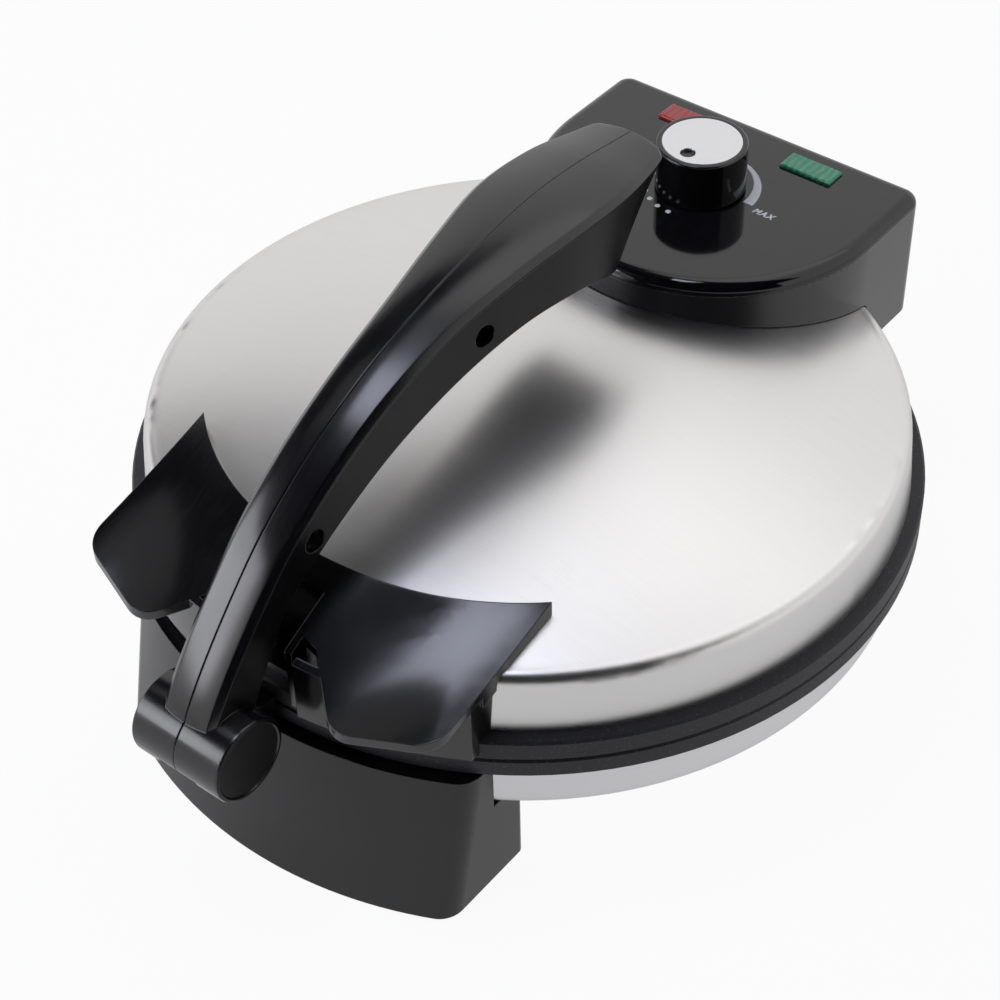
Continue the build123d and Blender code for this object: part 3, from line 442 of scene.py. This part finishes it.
# ---------------------------------------------------------------- rubber feet and cord gland
# Pads of moulded black rubber pushed into the mouldings they stand under, and a rubber gland pushed into
# the rear housing. The rubber is matt, with pale dust in its skin.
dust_patch = 0.004
rubber = new_finish("moulded_black_rubber")
rubber_place = add_node(rubber, "ShaderNodeTexCoord", {})
dust = add_node(
    rubber,
    "ShaderNodeTexNoise",
    {"Vector": rubber_place.outputs["Object"], "Scale": 1 / dust_patch, "Detail": 5.0},
)
dusty = add_node(
    rubber,
    "ShaderNodeMix",
    {0: dust.outputs[0], 6: linear("#161617"), 7: linear("#2F2E2D")},
    data_type="RGBA",
)
rubber_skin = add_node(
    rubber, "ShaderNodeBump", {"Height": dust.outputs[0], "Strength": 0.4, "Distance": 0.0001}
)
close_finish(
    rubber,
    {
        "Base Color": dusty.outputs[2],
        "Roughness": 0.8,
        "IOR": 1.52,
        "Normal": rubber_skin.outputs[0],
    },
)
finish("rubber_feet", rubber)
finish("cord_gland", rubber, 0.0004)

# ---------------------------------------------------------------- terminal block
# Block of pressed and fired steatite inside the rear housing, where the cord ends. It is unglazed, so it
# is dull and off-white with a fine grain.
powder_grain = 0.0008
steatite = new_finish("pressed_steatite")
steatite_place = add_node(steatite, "ShaderNodeTexCoord", {})
powder = add_node(
    steatite,
    "ShaderNodeTexNoise",
    {"Vector": steatite_place.outputs["Object"], "Scale": 1 / powder_grain, "Detail": 3.0},
)
fired = add_node(
    steatite,
    "ShaderNodeMix",
    {0: powder.outputs[0], 6: linear("#D8D3C6"), 7: linear("#EAE6DB")},
    data_type="RGBA",
)
pressed = add_node(
    steatite, "ShaderNodeBump", {"Height": powder.outputs[0], "Strength": 0.3, "Distance": 0.0001}
)
close_finish(
    steatite, {"Base Color": fired.outputs[2], "Roughness": 0.6, "Normal": pressed.outputs[0]}
)
finish("terminal_block", steatite, 0.0003)

# ---------------------------------------------------------------- hinge pins and lever pin
# Bright steel pins, turned and lightly oiled, so they shine softly. Two carry the lid in the ears of the
# rear housing, and one carries the lever on the lug of the front foot.
turned_steel = heated_metal("turned_bright_steel", "#A9AAAD", "#97989B", 0.28)
for part in ("hinge_pins", "lever_pin"):
    finish(part, turned_steel)

# ---------------------------------------------------------------- lid shell
# Dome of brushed stainless sheet. The straight grain of the sheet runs across the appliance over the
# top, and the skirt is brushed again on a turntable after drawing.
lid_stainless = brushed_stainless("brushed_stainless_lid", "#D3D1D0", "#DCDAD9", 0.27, 0.34)
finish("lid_shell", lid_stainless)

# ---------------------------------------------------------------- front bracket
# One moulding on the lid, in half-glossy black phenolic: the front wall, the two lifting wings, and
# between them the notch that the lever lies in. The notch's floor is a skin that follows the shell.
mm = 0.001
wing_phenolic = moulded_plastic(
    "moulded_black_phenolic_wings", "#0C0C0E", "#1A1A1D", 0.14, 0.2, 0.00003, 0.3, 1.6
)
finish("front_bracket", wing_phenolic)

notch_half_turn = 5.6
notch_turns = 8
notch_gap = 0.3
notch_skin = 1.0
notch_lip = 0.5
# The shell's outside as radius and height, first over the top and then down the front.
shell_top = ((108.0, 98.4), (113.0, 97.1), (119.0, 95.6), (125.0, 94.1), (128.0, 92.9))
shell_front = ((130.6, 90.0), (130.8, 76.5))


def closed_mesh(name, corners, faces):
    """A mesh with all its faces turned outwards."""
    mesh = bpy.data.meshes.new(name)
    mesh.from_pydata(corners, [], faces)
    shell = bmesh.new()
    shell.from_mesh(mesh)
    bmesh.ops.recalc_face_normals(shell, faces=shell.faces)
    shell.to_mesh(mesh)
    shell.free()
    return mesh


def ring_faces(count, rows):
    """Faces between closed rows of equally many corners, and the two that close the ends."""
    faces = [tuple(range(count)), tuple(range(rows * count - count, rows * count))]
    for row in range(rows - 1):
        for step in range(count):
            after = (step + 1) % count
            near, far = row * count, (row + 1) * count
            faces.append((near + step, near + after, far + after, far + step))
    return faces


def recess_floor():
    """The floor of the notch, which turns down in front of the shell."""
    under = [(r, z + notch_gap) for r, z in shell_top] + [
        (r + notch_gap, z) for r, z in shell_front
    ]
    over = [(r, z + notch_gap + notch_skin) for r, z in shell_top]
    over += [(r + notch_gap + notch_skin, z + notch_lip) for r, z in shell_front]
    outline = under + over[::-1]
    corners = []
    for step in range(notch_turns + 1):
        turn = radians(notch_half_turn * (2 * step / notch_turns - 1))
        corners += [
            (r * sin(turn) * mm, plates_axis_y - r * cos(turn) * mm, z * mm) for r, z in outline
        ]
    mesh = closed_mesh("recess_floor", corners, ring_faces(len(outline), notch_turns + 1))
    mesh.materials.append(wing_phenolic)
    piece = bpy.data.objects.new("recess_floor", mesh)
    bpy.context.scene.collection.objects.link(piece)
    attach(piece, "lid")


recess_floor()

# ---------------------------------------------------------------- control box and panel
# Box of half-glossy black phenolic, moulded with the lid's hinge knuckles and screwed to the shell. Its
# top is a separate panel of black ABS, polished so that it mirrors the knob.
box_phenolic = moulded_plastic(
    "moulded_black_phenolic_box", "#151519", "#1F1F24", 0.2, 0.27, 0.00002, 0.15, 1.68
)
finish("control_box", box_phenolic)
polished = moulded_plastic(
    "polished_black_abs", "#0F0F12", "#1C1C20", 0.06, 0.11, 0.00003, 0.1, 1.54
)
finish("control_panel", polished)

# ---------------------------------------------------------------- lamps
# Two ribbed lenses of coloured polycarbonate over small glow lamps: clear plastic with ribs moulded
# inside, so light scatters in them and the colour is deep at the ribs and pale between.
rib_spacing = 0.0013
lens_cloud = 0.002


def lens_plastic(name, deep, pale, dullness):
    """Coloured clear plastic with ribs 1.3 mm apart moulded on its inner side."""
    material = new_finish(name)
    spot = add_node(material, "ShaderNodeTexCoord", {})
    ribs = add_node(
        material,
        "ShaderNodeTexWave",
        {
            "Vector": spot.outputs["Object"],
            "Scale": 1 / (20 * rib_spacing) * pi,
            "Distortion": 3.0,
            "Detail": 2.0,
        },
        bands_direction="X",
    )
    cloud = add_node(
        material,
        "ShaderNodeTexNoise",
        {"Vector": spot.outputs["Object"], "Scale": 1 / lens_cloud, "Detail": 2.0},
    )
    share = add_node(
        material,
        "ShaderNodeMath",
        {0: ribs.outputs["Fac"], 1: cloud.outputs[0]},
        operation="MULTIPLY",
    )
    shade = add_node(
        material,
        "ShaderNodeMix",
        {0: share.outputs[0], 6: linear(deep), 7: linear(pale)},
        data_type="RGBA",
    )
    inner = add_node(
        material,
        "ShaderNodeBump",
        {"Height": ribs.outputs["Fac"], "Strength": 0.35, "Distance": 0.0002},
    )
    close_finish(
        material,
        {
            "Base Color": shade.outputs[2],
            "Roughness": dullness,
            "IOR": 1.585,
            "Transmission Weight": 0.3,
            "Subsurface Weight": 0.4,
            "Subsurface Scale": 0.001,
            "Normal": inner.outputs[0],
        },
    )
    return material


green_lens = lens_plastic("green_polycarbonate_lens", "#24AE7C", "#78E8BE", 0.12)
red_lens = lens_plastic("red_polycarbonate_lens", "#C62C32", "#E25052", 0.25)
finish("green_lamp", green_lens, 0.0003)
finish("red_lamp", red_lens, 0.0003)
# The bright electrodes show through the glow lamps' thin glass, so the lamps look like metal.
lamp_glass = heated_metal("glass_glow_lamp", "#C9C4BC", "#B7A99A", 0.2)
finish("glow_lamps", lamp_glass)

# ---------------------------------------------------------------- dial print
# White ink, pad printed on the panel round the knob: dots for the low settings, a crescent that widens
# with the heat, and the word at its end. The ink dries half dull, with pinholes that mottle it a little.
panel_top = 0.1229
knob_y = plates_axis_y + 0.1003
ink_depth = 0.00004
dial_radius = 0.0215
dot_ring = 0.0196
dot_radius = 0.001
dot_step = 14.7
dot_count = 11
dot_sides = 16
pinhole_spacing = 0.0004
ink = new_finish("pad_printed_white_ink")
ink_place = add_node(ink, "ShaderNodeTexCoord", {})
pinholes = add_node(
    ink,
    "ShaderNodeTexNoise",
    {"Vector": ink_place.outputs["Object"], "Scale": 1 / pinhole_spacing, "Detail": 2.0},
)
ink_tone = add_node(
    ink,
    "ShaderNodeMix",
    {0: pinholes.outputs[0], 6: linear("#D9DCEB"), 7: linear("#F4F4FA")},
    data_type="RGBA",
)
close_finish(ink, {"Base Color": ink_tone.outputs[2], "Roughness": 0.45, "IOR": 1.5})


def printed(name, outlines):
    """A thin layer of ink on the panel, one patch for each outline seen from above."""
    corners = []
    faces = []
    for outline in outlines:
        first = len(corners)
        count = len(outline)
        for height in (panel_top, panel_top + ink_depth):
            corners += [(x, y, height) for x, y in outline]
        faces.append(range(first + count, first + 2 * count))
        faces.append(range(first + count - 1, first - 1, -1))
        for step in range(count):
            after = (step + 1) % count
            faces.append((first + step, first + after, first + count + after, first + count + step))
    mesh = bpy.data.meshes.new(name)
    mesh.from_pydata(corners, [], [tuple(face) for face in faces])
    mesh.materials.append(ink)
    piece = bpy.data.objects.new(name, mesh)
    bpy.context.scene.collection.objects.link(piece)
    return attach(piece, "lid")


def on_dial(radius, degrees):
    """A place on the panel: degrees are turned clockwise from the front."""
    turn = radians(-90 - degrees)
    return radius * cos(turn), knob_y + radius * sin(turn)


dots = []
for count in range(dot_count):
    x, y = on_dial(dot_ring, count * dot_step)
    turns = [2 * pi * side / dot_sides for side in range(dot_sides)]
    dots.append([(x + dot_radius * cos(turn), y + dot_radius * sin(turn)) for turn in turns])
printed("dial_dots", dots)

crescent_start = 165
crescent_end = 268
crescent_steps = 40
crescent_width = 0.0036
crescent_point = 0.0003
outer = []
inner = []
for step in range(crescent_steps + 1):
    share = step / crescent_steps
    turned = crescent_start + share * (crescent_end - crescent_start)
    outer.append(on_dial(dial_radius, turned))
    inner.append(on_dial(dial_radius - crescent_point - crescent_width * share, turned))
printed("dial_crescent", [outer[::-1] + inner])

word_curve = bpy.data.curves.new("dial_word", "FONT")
word_curve.body = "MAX"
word_curve.size = 0.0036
word_curve.shear = 0.25
word_curve.space_character = 1.25
word_curve.extrude = ink_depth / 2
word_curve.offset = 0.00015
word_curve.materials.append(ink)
word = bpy.data.objects.new("dial_word", word_curve)
word.location = (0.0232, knob_y - 0.0022, panel_top + ink_depth / 2)
word.scale = (0.92, 1.0, 1.0)
bpy.context.scene.collection.objects.link(word)
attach(word, "lid")

# ---------------------------------------------------------------- thermostat and knob
# Thermostat under the panel, held by a brass nut, and its steel spindle with a glossy black knob pressed
# on. The knob's cap is spun aluminium, whose fine rings draw the light out into a fan.
brass = heated_metal("turned_brass", "#C9A55C", "#B08F4E", 0.3)
finish("thermostat", zinc_plate)
finish("thermostat_nut", brass, 0.0003)
finish("thermostat_spindle", turned_steel)
knob_plastic = moulded_plastic(
    "polished_black_abs_knob", "#0C0C0E", "#19191C", 0.08, 0.14, 0.00004, 0.1, 1.54
)
finish("knob", knob_plastic)
lathe_ring_width = 0.00035  # real rings are under 0.1 mm wide, too fine to show
cap = new_finish("spun_aluminium_cap")
cap_place = add_node(cap, "ShaderNodeTexCoord", {})
seen_from_above = add_node(
    cap,
    "ShaderNodeVectorMath",
    {0: cap_place.outputs["Object"], 1: (1, 1, 0)},
    operation="MULTIPLY",
)
cap_radius = add_node(
    cap,
    "ShaderNodeVectorMath",
    {0: seen_from_above.outputs[0], 1: (0, knob_y, 0)},
    operation="DISTANCE",
)
cap_rings = add_node(
    cap,
    "ShaderNodeTexNoise",
    {"W": cap_radius.outputs["Value"], "Scale": 1 / lathe_ring_width, "Detail": 2.0},
    noise_dimensions="1D",
)
cap_tone = add_node(
    cap,
    "ShaderNodeMix",
    {0: cap_rings.outputs[0], 6: linear("#D0D0D2"), 7: linear("#E4E4E6")},
    data_type="RGBA",
)
cap_relief = add_node(
    cap, "ShaderNodeBump", {"Height": cap_rings.outputs[0], "Strength": 0.2, "Distance": 0.00002}
)
close_finish(
    cap,
    {
        "Base Color": cap_tone.outputs[2],
        "Metallic": 1.0,
        "Roughness": 0.35,
        "Normal": cap_relief.outputs[0],
    },
)
finish("knob_cap", cap, 0.0002)
finish("lid_screws", zinc_plate)

# ---------------------------------------------------------------- pressing lever
# Two half shells of black glass-filled nylon that meet on a parting line and are screwed together from
# the right. The crown rolls over a narrow bevel into the sides, which are painted darker and duller than
# the crown as shade. The barrel below turns on the lever's pin, and its slot passes over the lug of the
# front foot.
nylon = moulded_plastic("moulded_black_nylon", "#101013", "#1B1B1F", 0.16, 0.25, 0.00006, 0.3, 1.58)
# A darker, duller copy of the nylon with a low IOR: painted shade for the faces that look out sideways.
shaded_side_nylon = moulded_plastic(
    "moulded_black_nylon_painted_shade_sides", "#09090A", "#111113", 0.28, 0.38, 0.00003, 0.3, 1.32
)
shaded_side_facing = 0.85
pin_low, pin_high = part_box("lever_pin")
pin_y = (pin_low.y + pin_high.y) / 2
pin_z = (pin_low.z + pin_high.z) / 2
lever_rows = (  # mm from the pin: underside y, z; ridge y, z; half width below, above; crown
    (7.1, -0.4, -10.4, 2.6, 10.4, 10.4, 0.5),
    (12.6, 10.1, -7.5, 13.1, 10.5, 10.5, 0.6),
    (21.1, 24.6, 2.5, 27.9, 10.6, 10.5, 0.6),
    (29.1, 36.6, 18.1, 45.9, 10.7, 10.6, 0.7),
    (41.1, 45.6, 33.8, 61.0, 11.0, 10.8, 0.8),
    (62.1, 57.6, 55.1, 75.6, 11.7, 11.3, 1.0),
    (84.6, 66.8, 79.1, 87.6, 12.4, 12.0, 1.4),
    (111.6, 74.6, 107.6, 97.2, 14.3, 13.8, 2.0),
    (137.6, 79.8, 135.6, 103.2, 17.8, 17.5, 2.2),
    (161.6, 79.6, 161.6, 106.4, 21.0, 21.0, 2.4),
    (178.6, 74.8, 186.6, 105.6, 20.4, 20.8, 2.4),
    (187.6, 71.2, 206.6, 103.0, 16.6, 17.4, 2.0),
    (190.1, 70.6, 217.1, 101.6, 13.6, 14.6, 1.4),
)
rings_per_row = 6
end_rounding = 3.0
end_run = 10.6
end_narrowing = 0.8
crown_steps = 6
edge_break = 0.4
bevel_width = 1.9
bevel_drop = 1.5
rim_depth = 1.3
rim_step = 0.3
rim_slope = 0.2
rim_end = 0.8
seam_break = 0.3
barrel_radius = 14.5
barrel_half = 18.0
barrel_edge = ((1.0, 0.0), (0.3, 0.3), (0.0, 1.0), (0.0, 1.5), (0.5, 1.7))  # from end, from skin
disc_middle = 0.2
lug_slot = 7.7
slot_radius = 9.3
slot_from = 10.5
slot_turn = 174.0
bore = 3.15
bore_end = 1.2
shank = 1.8
screw_recess = 3.9
screw_seat = 5.0
screw_middles = ((43.4, 54.6), (120.3, 85.1))


def along_lever(place):
    """The row of sizes at a place along the lever, on a smooth curve through the rows."""
    row = min(int(place), len(lever_rows) - 2)
    share = place - row
    near = [lever_rows[max(0, min(len(lever_rows) - 1, row + step))] for step in (-1, 0, 1, 2)]
    return [
        b + share / 2 * (c - a + share * (2 * a - 5 * b + 4 * c - d + share * (3 * (b - c) + d - a)))
        for a, b, c, d in zip(*near)
    ]


def lever_ring(sizes, inset, draw_in):
    """Corners of the right half's section, from the parting face over the crown and down the side. It
    lies inside the skin by inset, and is narrower by draw_in."""
    low_y, low_z, high_y, high_z, low_half, high_half, crown = sizes
    rise = Vector((0, high_y - low_y, high_z - low_z))
    top = rise.length - inset
    way = rise.normalized()
    half = high_half - inset - draw_in
    foot_half = low_half - inset - draw_in
    flank = top - crown - bevel_drop - rim_depth
    crown_end = half - bevel_width
    bevel_end = top - crown - bevel_drop
    skin = [(0, top - seam_break), (seam_break, top - 0.02)]
    for step in range(1, crown_steps):
        skin.append((crown_end * step / crown_steps, top - crown * (step / crown_steps) ** 2))
    skin += [(crown_end - edge_break, top - crown * 0.93), (crown_end, top - crown - 0.08)]
    skin += [(half - edge_break, bevel_end), (half, bevel_end - edge_break)]
    skin += [
        (half, flank), (half - rim_step, flank - rim_slope), (half - rim_step, flank - rim_end)
    ]
    skin += [(foot_half, inset + 2 * edge_break), (foot_half - edge_break, inset + 0.1)]
    skin += [(foot_half - 2 * edge_break, inset), (0, inset)]
    start = Vector((0, low_y, low_z))
    return [start + Vector((x, 0, 0)) + way * t for x, t in skin]


def ringed(name, rings, side):
    """A solid through rings of equally many corners, in mm from the pin, closed at both ends; side is 1
    on the right and -1 on the left."""
    corners = [
        (side * x * mm, pin_y + y * mm, pin_z + z * mm) for ring in rings for x, y, z in ring
    ]
    mesh = closed_mesh(name, corners, ring_faces(len(rings[0]), len(rings)))
    blank = bpy.data.objects.new(name, mesh)
    bpy.context.scene.collection.objects.link(blank)
    return blank


def turned(name, profile, middle, side, steps=72):
    """A solid turned about an axis along X through middle; the profile gives x and radius."""
    rings = []
    for x, radius in profile:
        angles = [2 * pi * step / steps for step in range(steps)]
        rings.append([(x, middle[0] + radius * cos(a), middle[1] + radius * sin(a)) for a in angles])
    return ringed(name, rings, side)


def grip(side):
    """The lever's skin from inside the barrel to the grip's end, whose corners are rounded."""
    last = len(lever_rows) - 1
    steps = last * rings_per_row - 1
    rings = [lever_ring(along_lever(step / rings_per_row), 0, 0) for step in range(steps)]
    for turned_by in (0, 25, 50, 70, 90):
        back = end_rounding * (1 - sin(radians(turned_by)))
        narrower = end_rounding * end_narrowing * (1 - cos(radians(turned_by)))
        rings.append(lever_ring(along_lever(last - (back + edge_break) / end_run), 0, narrower))
    rings.append(lever_ring(along_lever(last), edge_break, end_rounding * end_narrowing))
    return ringed("grip", rings, side)


def worked(blank, tools):
    """The blank's mesh after each tool has been joined to it or cut from it."""
    for operation, tool in tools:
        cut = blank.modifiers.new(operation.lower(), "BOOLEAN")
        cut.operation = operation
        cut.solver = "EXACT"
        cut.object = tool
    bpy.context.view_layer.update()
    mesh = bpy.data.meshes.new_from_object(blank.evaluated_get(bpy.context.evaluated_depsgraph_get()))
    for used in [blank] + [tool for operation, tool in tools]:
        bpy.data.objects.remove(used)
    return mesh


def lever_half(name, node, side):
    """One half of the lever with its half of the barrel."""
    barrel_profile = [(0, barrel_radius - seam_break), (seam_break, barrel_radius)]
    barrel_profile += [(barrel_half - end, barrel_radius - skin) for end, skin in barrel_edge]
    barrel_profile.append((barrel_half - barrel_edge[-1][0], disc_middle))
    reach = 2 * barrel_radius
    rays = [radians(slot_from - step * slot_turn / 3) for step in range(4)]
    wedge = [(0, 0)] + [(reach * cos(ray), reach * sin(ray)) for ray in rays]
    wedge_rings = [[(x, y, z) for y, z in wedge] for x in (-1, lug_slot)]
    tools = [
        ("UNION", turned("barrel", barrel_profile, (0, 0), side)),
        ("DIFFERENCE", turned("slot", [(-1, slot_radius), (lug_slot, slot_radius)], (0, 0), side)),
        ("DIFFERENCE", ringed("slot_way", wedge_rings, side)),
        (
            "DIFFERENCE",
            turned("pin_bore", [(-1, bore), (barrel_half - bore_end, bore)], (0, 0), side),
        ),
    ]
    if side > 0:
        for middle in screw_middles:
            recess = [(screw_seat, screw_recess), (2 * barrel_half, screw_recess)]
            hole = [(-1, shank), (screw_seat + 1, shank)]
            tools.append(("DIFFERENCE", turned("recess", recess, middle, side, 32)))
            tools.append(("DIFFERENCE", turned("shank", hole, middle, side, 24)))
    mesh = worked(grip(side), tools)
    mesh.name = name
    for face in mesh.polygons:
        face.use_smooth = True
    mesh.set_sharp_from_angle(angle=radians(32))
    mesh.materials.clear()
    mesh.materials.append(nylon)
    mesh.materials.append(shaded_side_nylon)
    # Faces turned out sideways take the darker copy of the nylon as painted shade.
    for face in mesh.polygons:
        face.material_index = 1 if side * face.normal.x > shaded_side_facing else 0
    piece = bpy.data.objects.new(name, mesh)
    bpy.context.scene.collection.objects.link(piece)
    weighted = piece.modifiers.new("even_shading", "WEIGHTED_NORMAL")
    weighted.keep_sharp = True
    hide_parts(node)
    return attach(piece, "lever")


lever_half("lever_right_half", "lever_right", 1)
lever_half("lever_left_half", "lever_left", -1)
finish("lever_screws", zinc_plate)

# ---------------------------------------------------------------- studio set: room, lights and camera
# White paper on the floor of a white room, with soft boxes in front to the left and overhead. A ceiling
# and two walls of black cloth give the polished steel and the glossy plastics something dark to mirror.
paper_fibre = 0.002
share_seen_lit = 0.94
share_mirrored_lit = 0.6
floor_size = 12.0
paper = new_finish("white_paper")
paper_place = add_node(paper, "ShaderNodeTexCoord", {})
fibres = add_node(
    paper,
    "ShaderNodeTexNoise",
    {"Vector": paper_place.outputs["Object"], "Scale": 1 / paper_fibre, "Detail": 4.0},
)
paper_tone = add_node(
    paper,
    "ShaderNodeMix",
    {0: fibres.outputs[0], 6: linear("#F2F2F2"), 7: linear("#F7F7F7")},
    data_type="RGBA",
)
sheet = add_node(paper, "ShaderNodeBsdfDiffuse", {"Color": paper_tone.outputs[2]})
lit_back = add_node(paper, "ShaderNodeEmission", {"Color": (1, 1, 1, 1), "Strength": 1.0})
seen = add_node(paper, "ShaderNodeLightPath", {})
mirrored = add_node(
    paper,
    "ShaderNodeMath",
    {0: seen.outputs["Is Glossy Ray"], 1: seen.outputs["Is Transmission Ray"]},
    operation="MAXIMUM",
)
mirrored_share = add_node(
    paper, "ShaderNodeMath", {0: mirrored.outputs[0], 1: share_mirrored_lit}, operation="MULTIPLY"
)
share_lit = add_node(
    paper,
    "ShaderNodeMath",
    {0: seen.outputs["Is Camera Ray"], 1: share_seen_lit, 2: mirrored_share.outputs[0]},
    operation="MULTIPLY_ADD",
)
paper_mix = add_node(
    paper,
    "ShaderNodeMixShader",
    {0: share_lit.outputs[0], 1: sheet.outputs[0], 2: lit_back.outputs[0]},
)
add_node(paper, "ShaderNodeOutputMaterial", {"Surface": paper_mix.outputs[0]})


def hung_sheet(name, corners, material):
    """A flat sheet of the set, laid or hung by its corners."""
    mesh = bpy.data.meshes.new(name)
    mesh.from_pydata(corners, [], [tuple(range(len(corners)))])
    mesh.materials.append(material)
    sheet = bpy.data.objects.new(name, mesh)
    bpy.context.scene.collection.objects.link(sheet)


floor_reach = floor_size / 2
floor_plan = [(-1, -1), (1, -1), (1, 1), (-1, 1)]
hung_sheet("paper_floor", [(x * floor_reach, y * floor_reach, 0) for x, y in floor_plan], paper)

world = bpy.data.worlds.new("white_room")
bpy.context.scene.world = world
world.use_nodes = True
world.node_tree.nodes.clear()
room_path = add_node(world, "ShaderNodeLightPath", {})
room_seen = add_node(
    world,
    "ShaderNodeMath",
    {0: room_path.outputs["Is Camera Ray"], 1: room_path.outputs["Is Glossy Ray"]},
    operation="MAXIMUM",
)
room_any = add_node(
    world,
    "ShaderNodeMath",
    {0: room_seen.outputs[0], 1: room_path.outputs["Is Transmission Ray"]},
    operation="MAXIMUM",
)
room_strength = add_node(
    world, "ShaderNodeMapRange", {"Value": room_any.outputs[0], "To Min": 0.5, "To Max": 1.0}
)
room = add_node(
    world, "ShaderNodeBackground", {"Color": (1, 1, 1, 1), "Strength": room_strength.outputs[0]}
)
add_node(world, "ShaderNodeOutputWorld", {"Surface": room.outputs[0]})

cloth_nap = 0.003
black_cloth = new_finish("black_cloth")
cloth_place = add_node(black_cloth, "ShaderNodeTexCoord", {})
nap = add_node(
    black_cloth,
    "ShaderNodeTexNoise",
    {"Vector": cloth_place.outputs["Object"], "Scale": 1 / cloth_nap, "Detail": 2.0},
)
cloth_tone = add_node(
    black_cloth,
    "ShaderNodeMix",
    {0: nap.outputs[0], 6: linear("#101011"), 7: linear("#1C1C1D")},
    data_type="RGBA",
)
cloth = add_node(
    black_cloth, "ShaderNodeBsdfDiffuse", {"Color": cloth_tone.outputs[2], "Roughness": 0.95}
)
cloth_path = add_node(black_cloth, "ShaderNodeLightPath", {})
white_seen = add_node(black_cloth, "ShaderNodeEmission", {"Color": (1, 1, 1, 1), "Strength": 1.0})
cloth_mix = add_node(
    black_cloth,
    "ShaderNodeMixShader",
    {0: cloth_path.outputs["Is Camera Ray"], 1: cloth.outputs[0], 2: white_seen.outputs[0]},
)
add_node(black_cloth, "ShaderNodeOutputMaterial", {"Surface": cloth_mix.outputs[0]})

ceiling_height = 1.35
wall_foot = 0.02
ceiling_plan = [(-2.4, -1.9), (2.0, -1.9), (2.0, 0.12), (-0.45, 0.12), (-0.45, 0.55), (-2.4, 0.55)]
hung_sheet("dark_ceiling", [(x, y, ceiling_height) for x, y in ceiling_plan], black_cloth)
front_wall = [(-0.35, -1.9), (2.0, -1.9), (2.0, -0.45)]
for count, (near, far) in enumerate(zip(front_wall, front_wall[1:])):
    wall = [(*near, wall_foot), (*far, wall_foot), (*far, ceiling_height), (*near, ceiling_height)]
    hung_sheet("dark_wall_%d" % count, wall, black_cloth)

aim = Vector((0.004413, plates_axis_y - 0.020948, 0.064))


def soft_box(name, width, depth, brightness, colour):
    """A soft light that faces down; brightness is what a mirror would show of it."""
    lamp = bpy.data.lights.new(name, "AREA")
    lamp.shape = "RECTANGLE"
    lamp.size = width
    lamp.size_y = depth
    lamp.energy = brightness * pi * width * depth
    lamp.color = linear(colour)[:3]
    holder = bpy.data.objects.new(name, lamp)
    bpy.context.scene.collection.objects.link(holder)
    return holder


front_left_way = Vector((-0.60, -0.70, 0.40))
front_left_reach = 1.25
front_left = soft_box("soft_box_front_left", 0.75, 0.55, 4.8, "#F6F7FF")
front_left.location = aim + front_left_way.normalized() * front_left_reach
front_left.rotation_euler = (-front_left_way).to_track_quat("-Z", "Y").to_euler()

ceiling_lights = {  # place from x, to x, from y, to y; brightness; colour
    "overhead_front": (-0.50, 0.08, -0.36, -0.05, 6.5, "#E6EBFF"),
    "overhead_back": (-0.35, 0.45, 0.2, 1.1, 0.42, "#FFFFFF"),
    "overhead_left": (-1.2, -0.6, -0.45, 0.0, 0.35, "#FFFFFF"),
}
light_drop = 0.02
for name, (x_from, x_to, y_from, y_to, brightness, colour) in ceiling_lights.items():
    light = soft_box(name, x_to - x_from, y_to - y_from, brightness, colour)
    light.location = ((x_from + x_to) / 2, (y_from + y_to) / 2, ceiling_height - light_drop)

camera_place = Vector((0.3649, plates_axis_y - 0.4616, 0.5977))
camera_roll = -0.025687
level_look = (aim - camera_place).to_track_quat("-Z", "Y").to_matrix()
looking = level_look @ Matrix.Rotation(camera_roll, 3, "Z")
lens = bpy.data.cameras.new("camera")
lens.lens = 82.83
lens.sensor_width = 36.0
camera = bpy.data.objects.new("camera", lens)
camera.matrix_world = Matrix.Translation(camera_place) @ looking.to_4x4()
bpy.context.scene.collection.objects.link(camera)
bpy.context.scene.camera = camera
bpy.context.scene.view_settings.view_transform = "Standard"
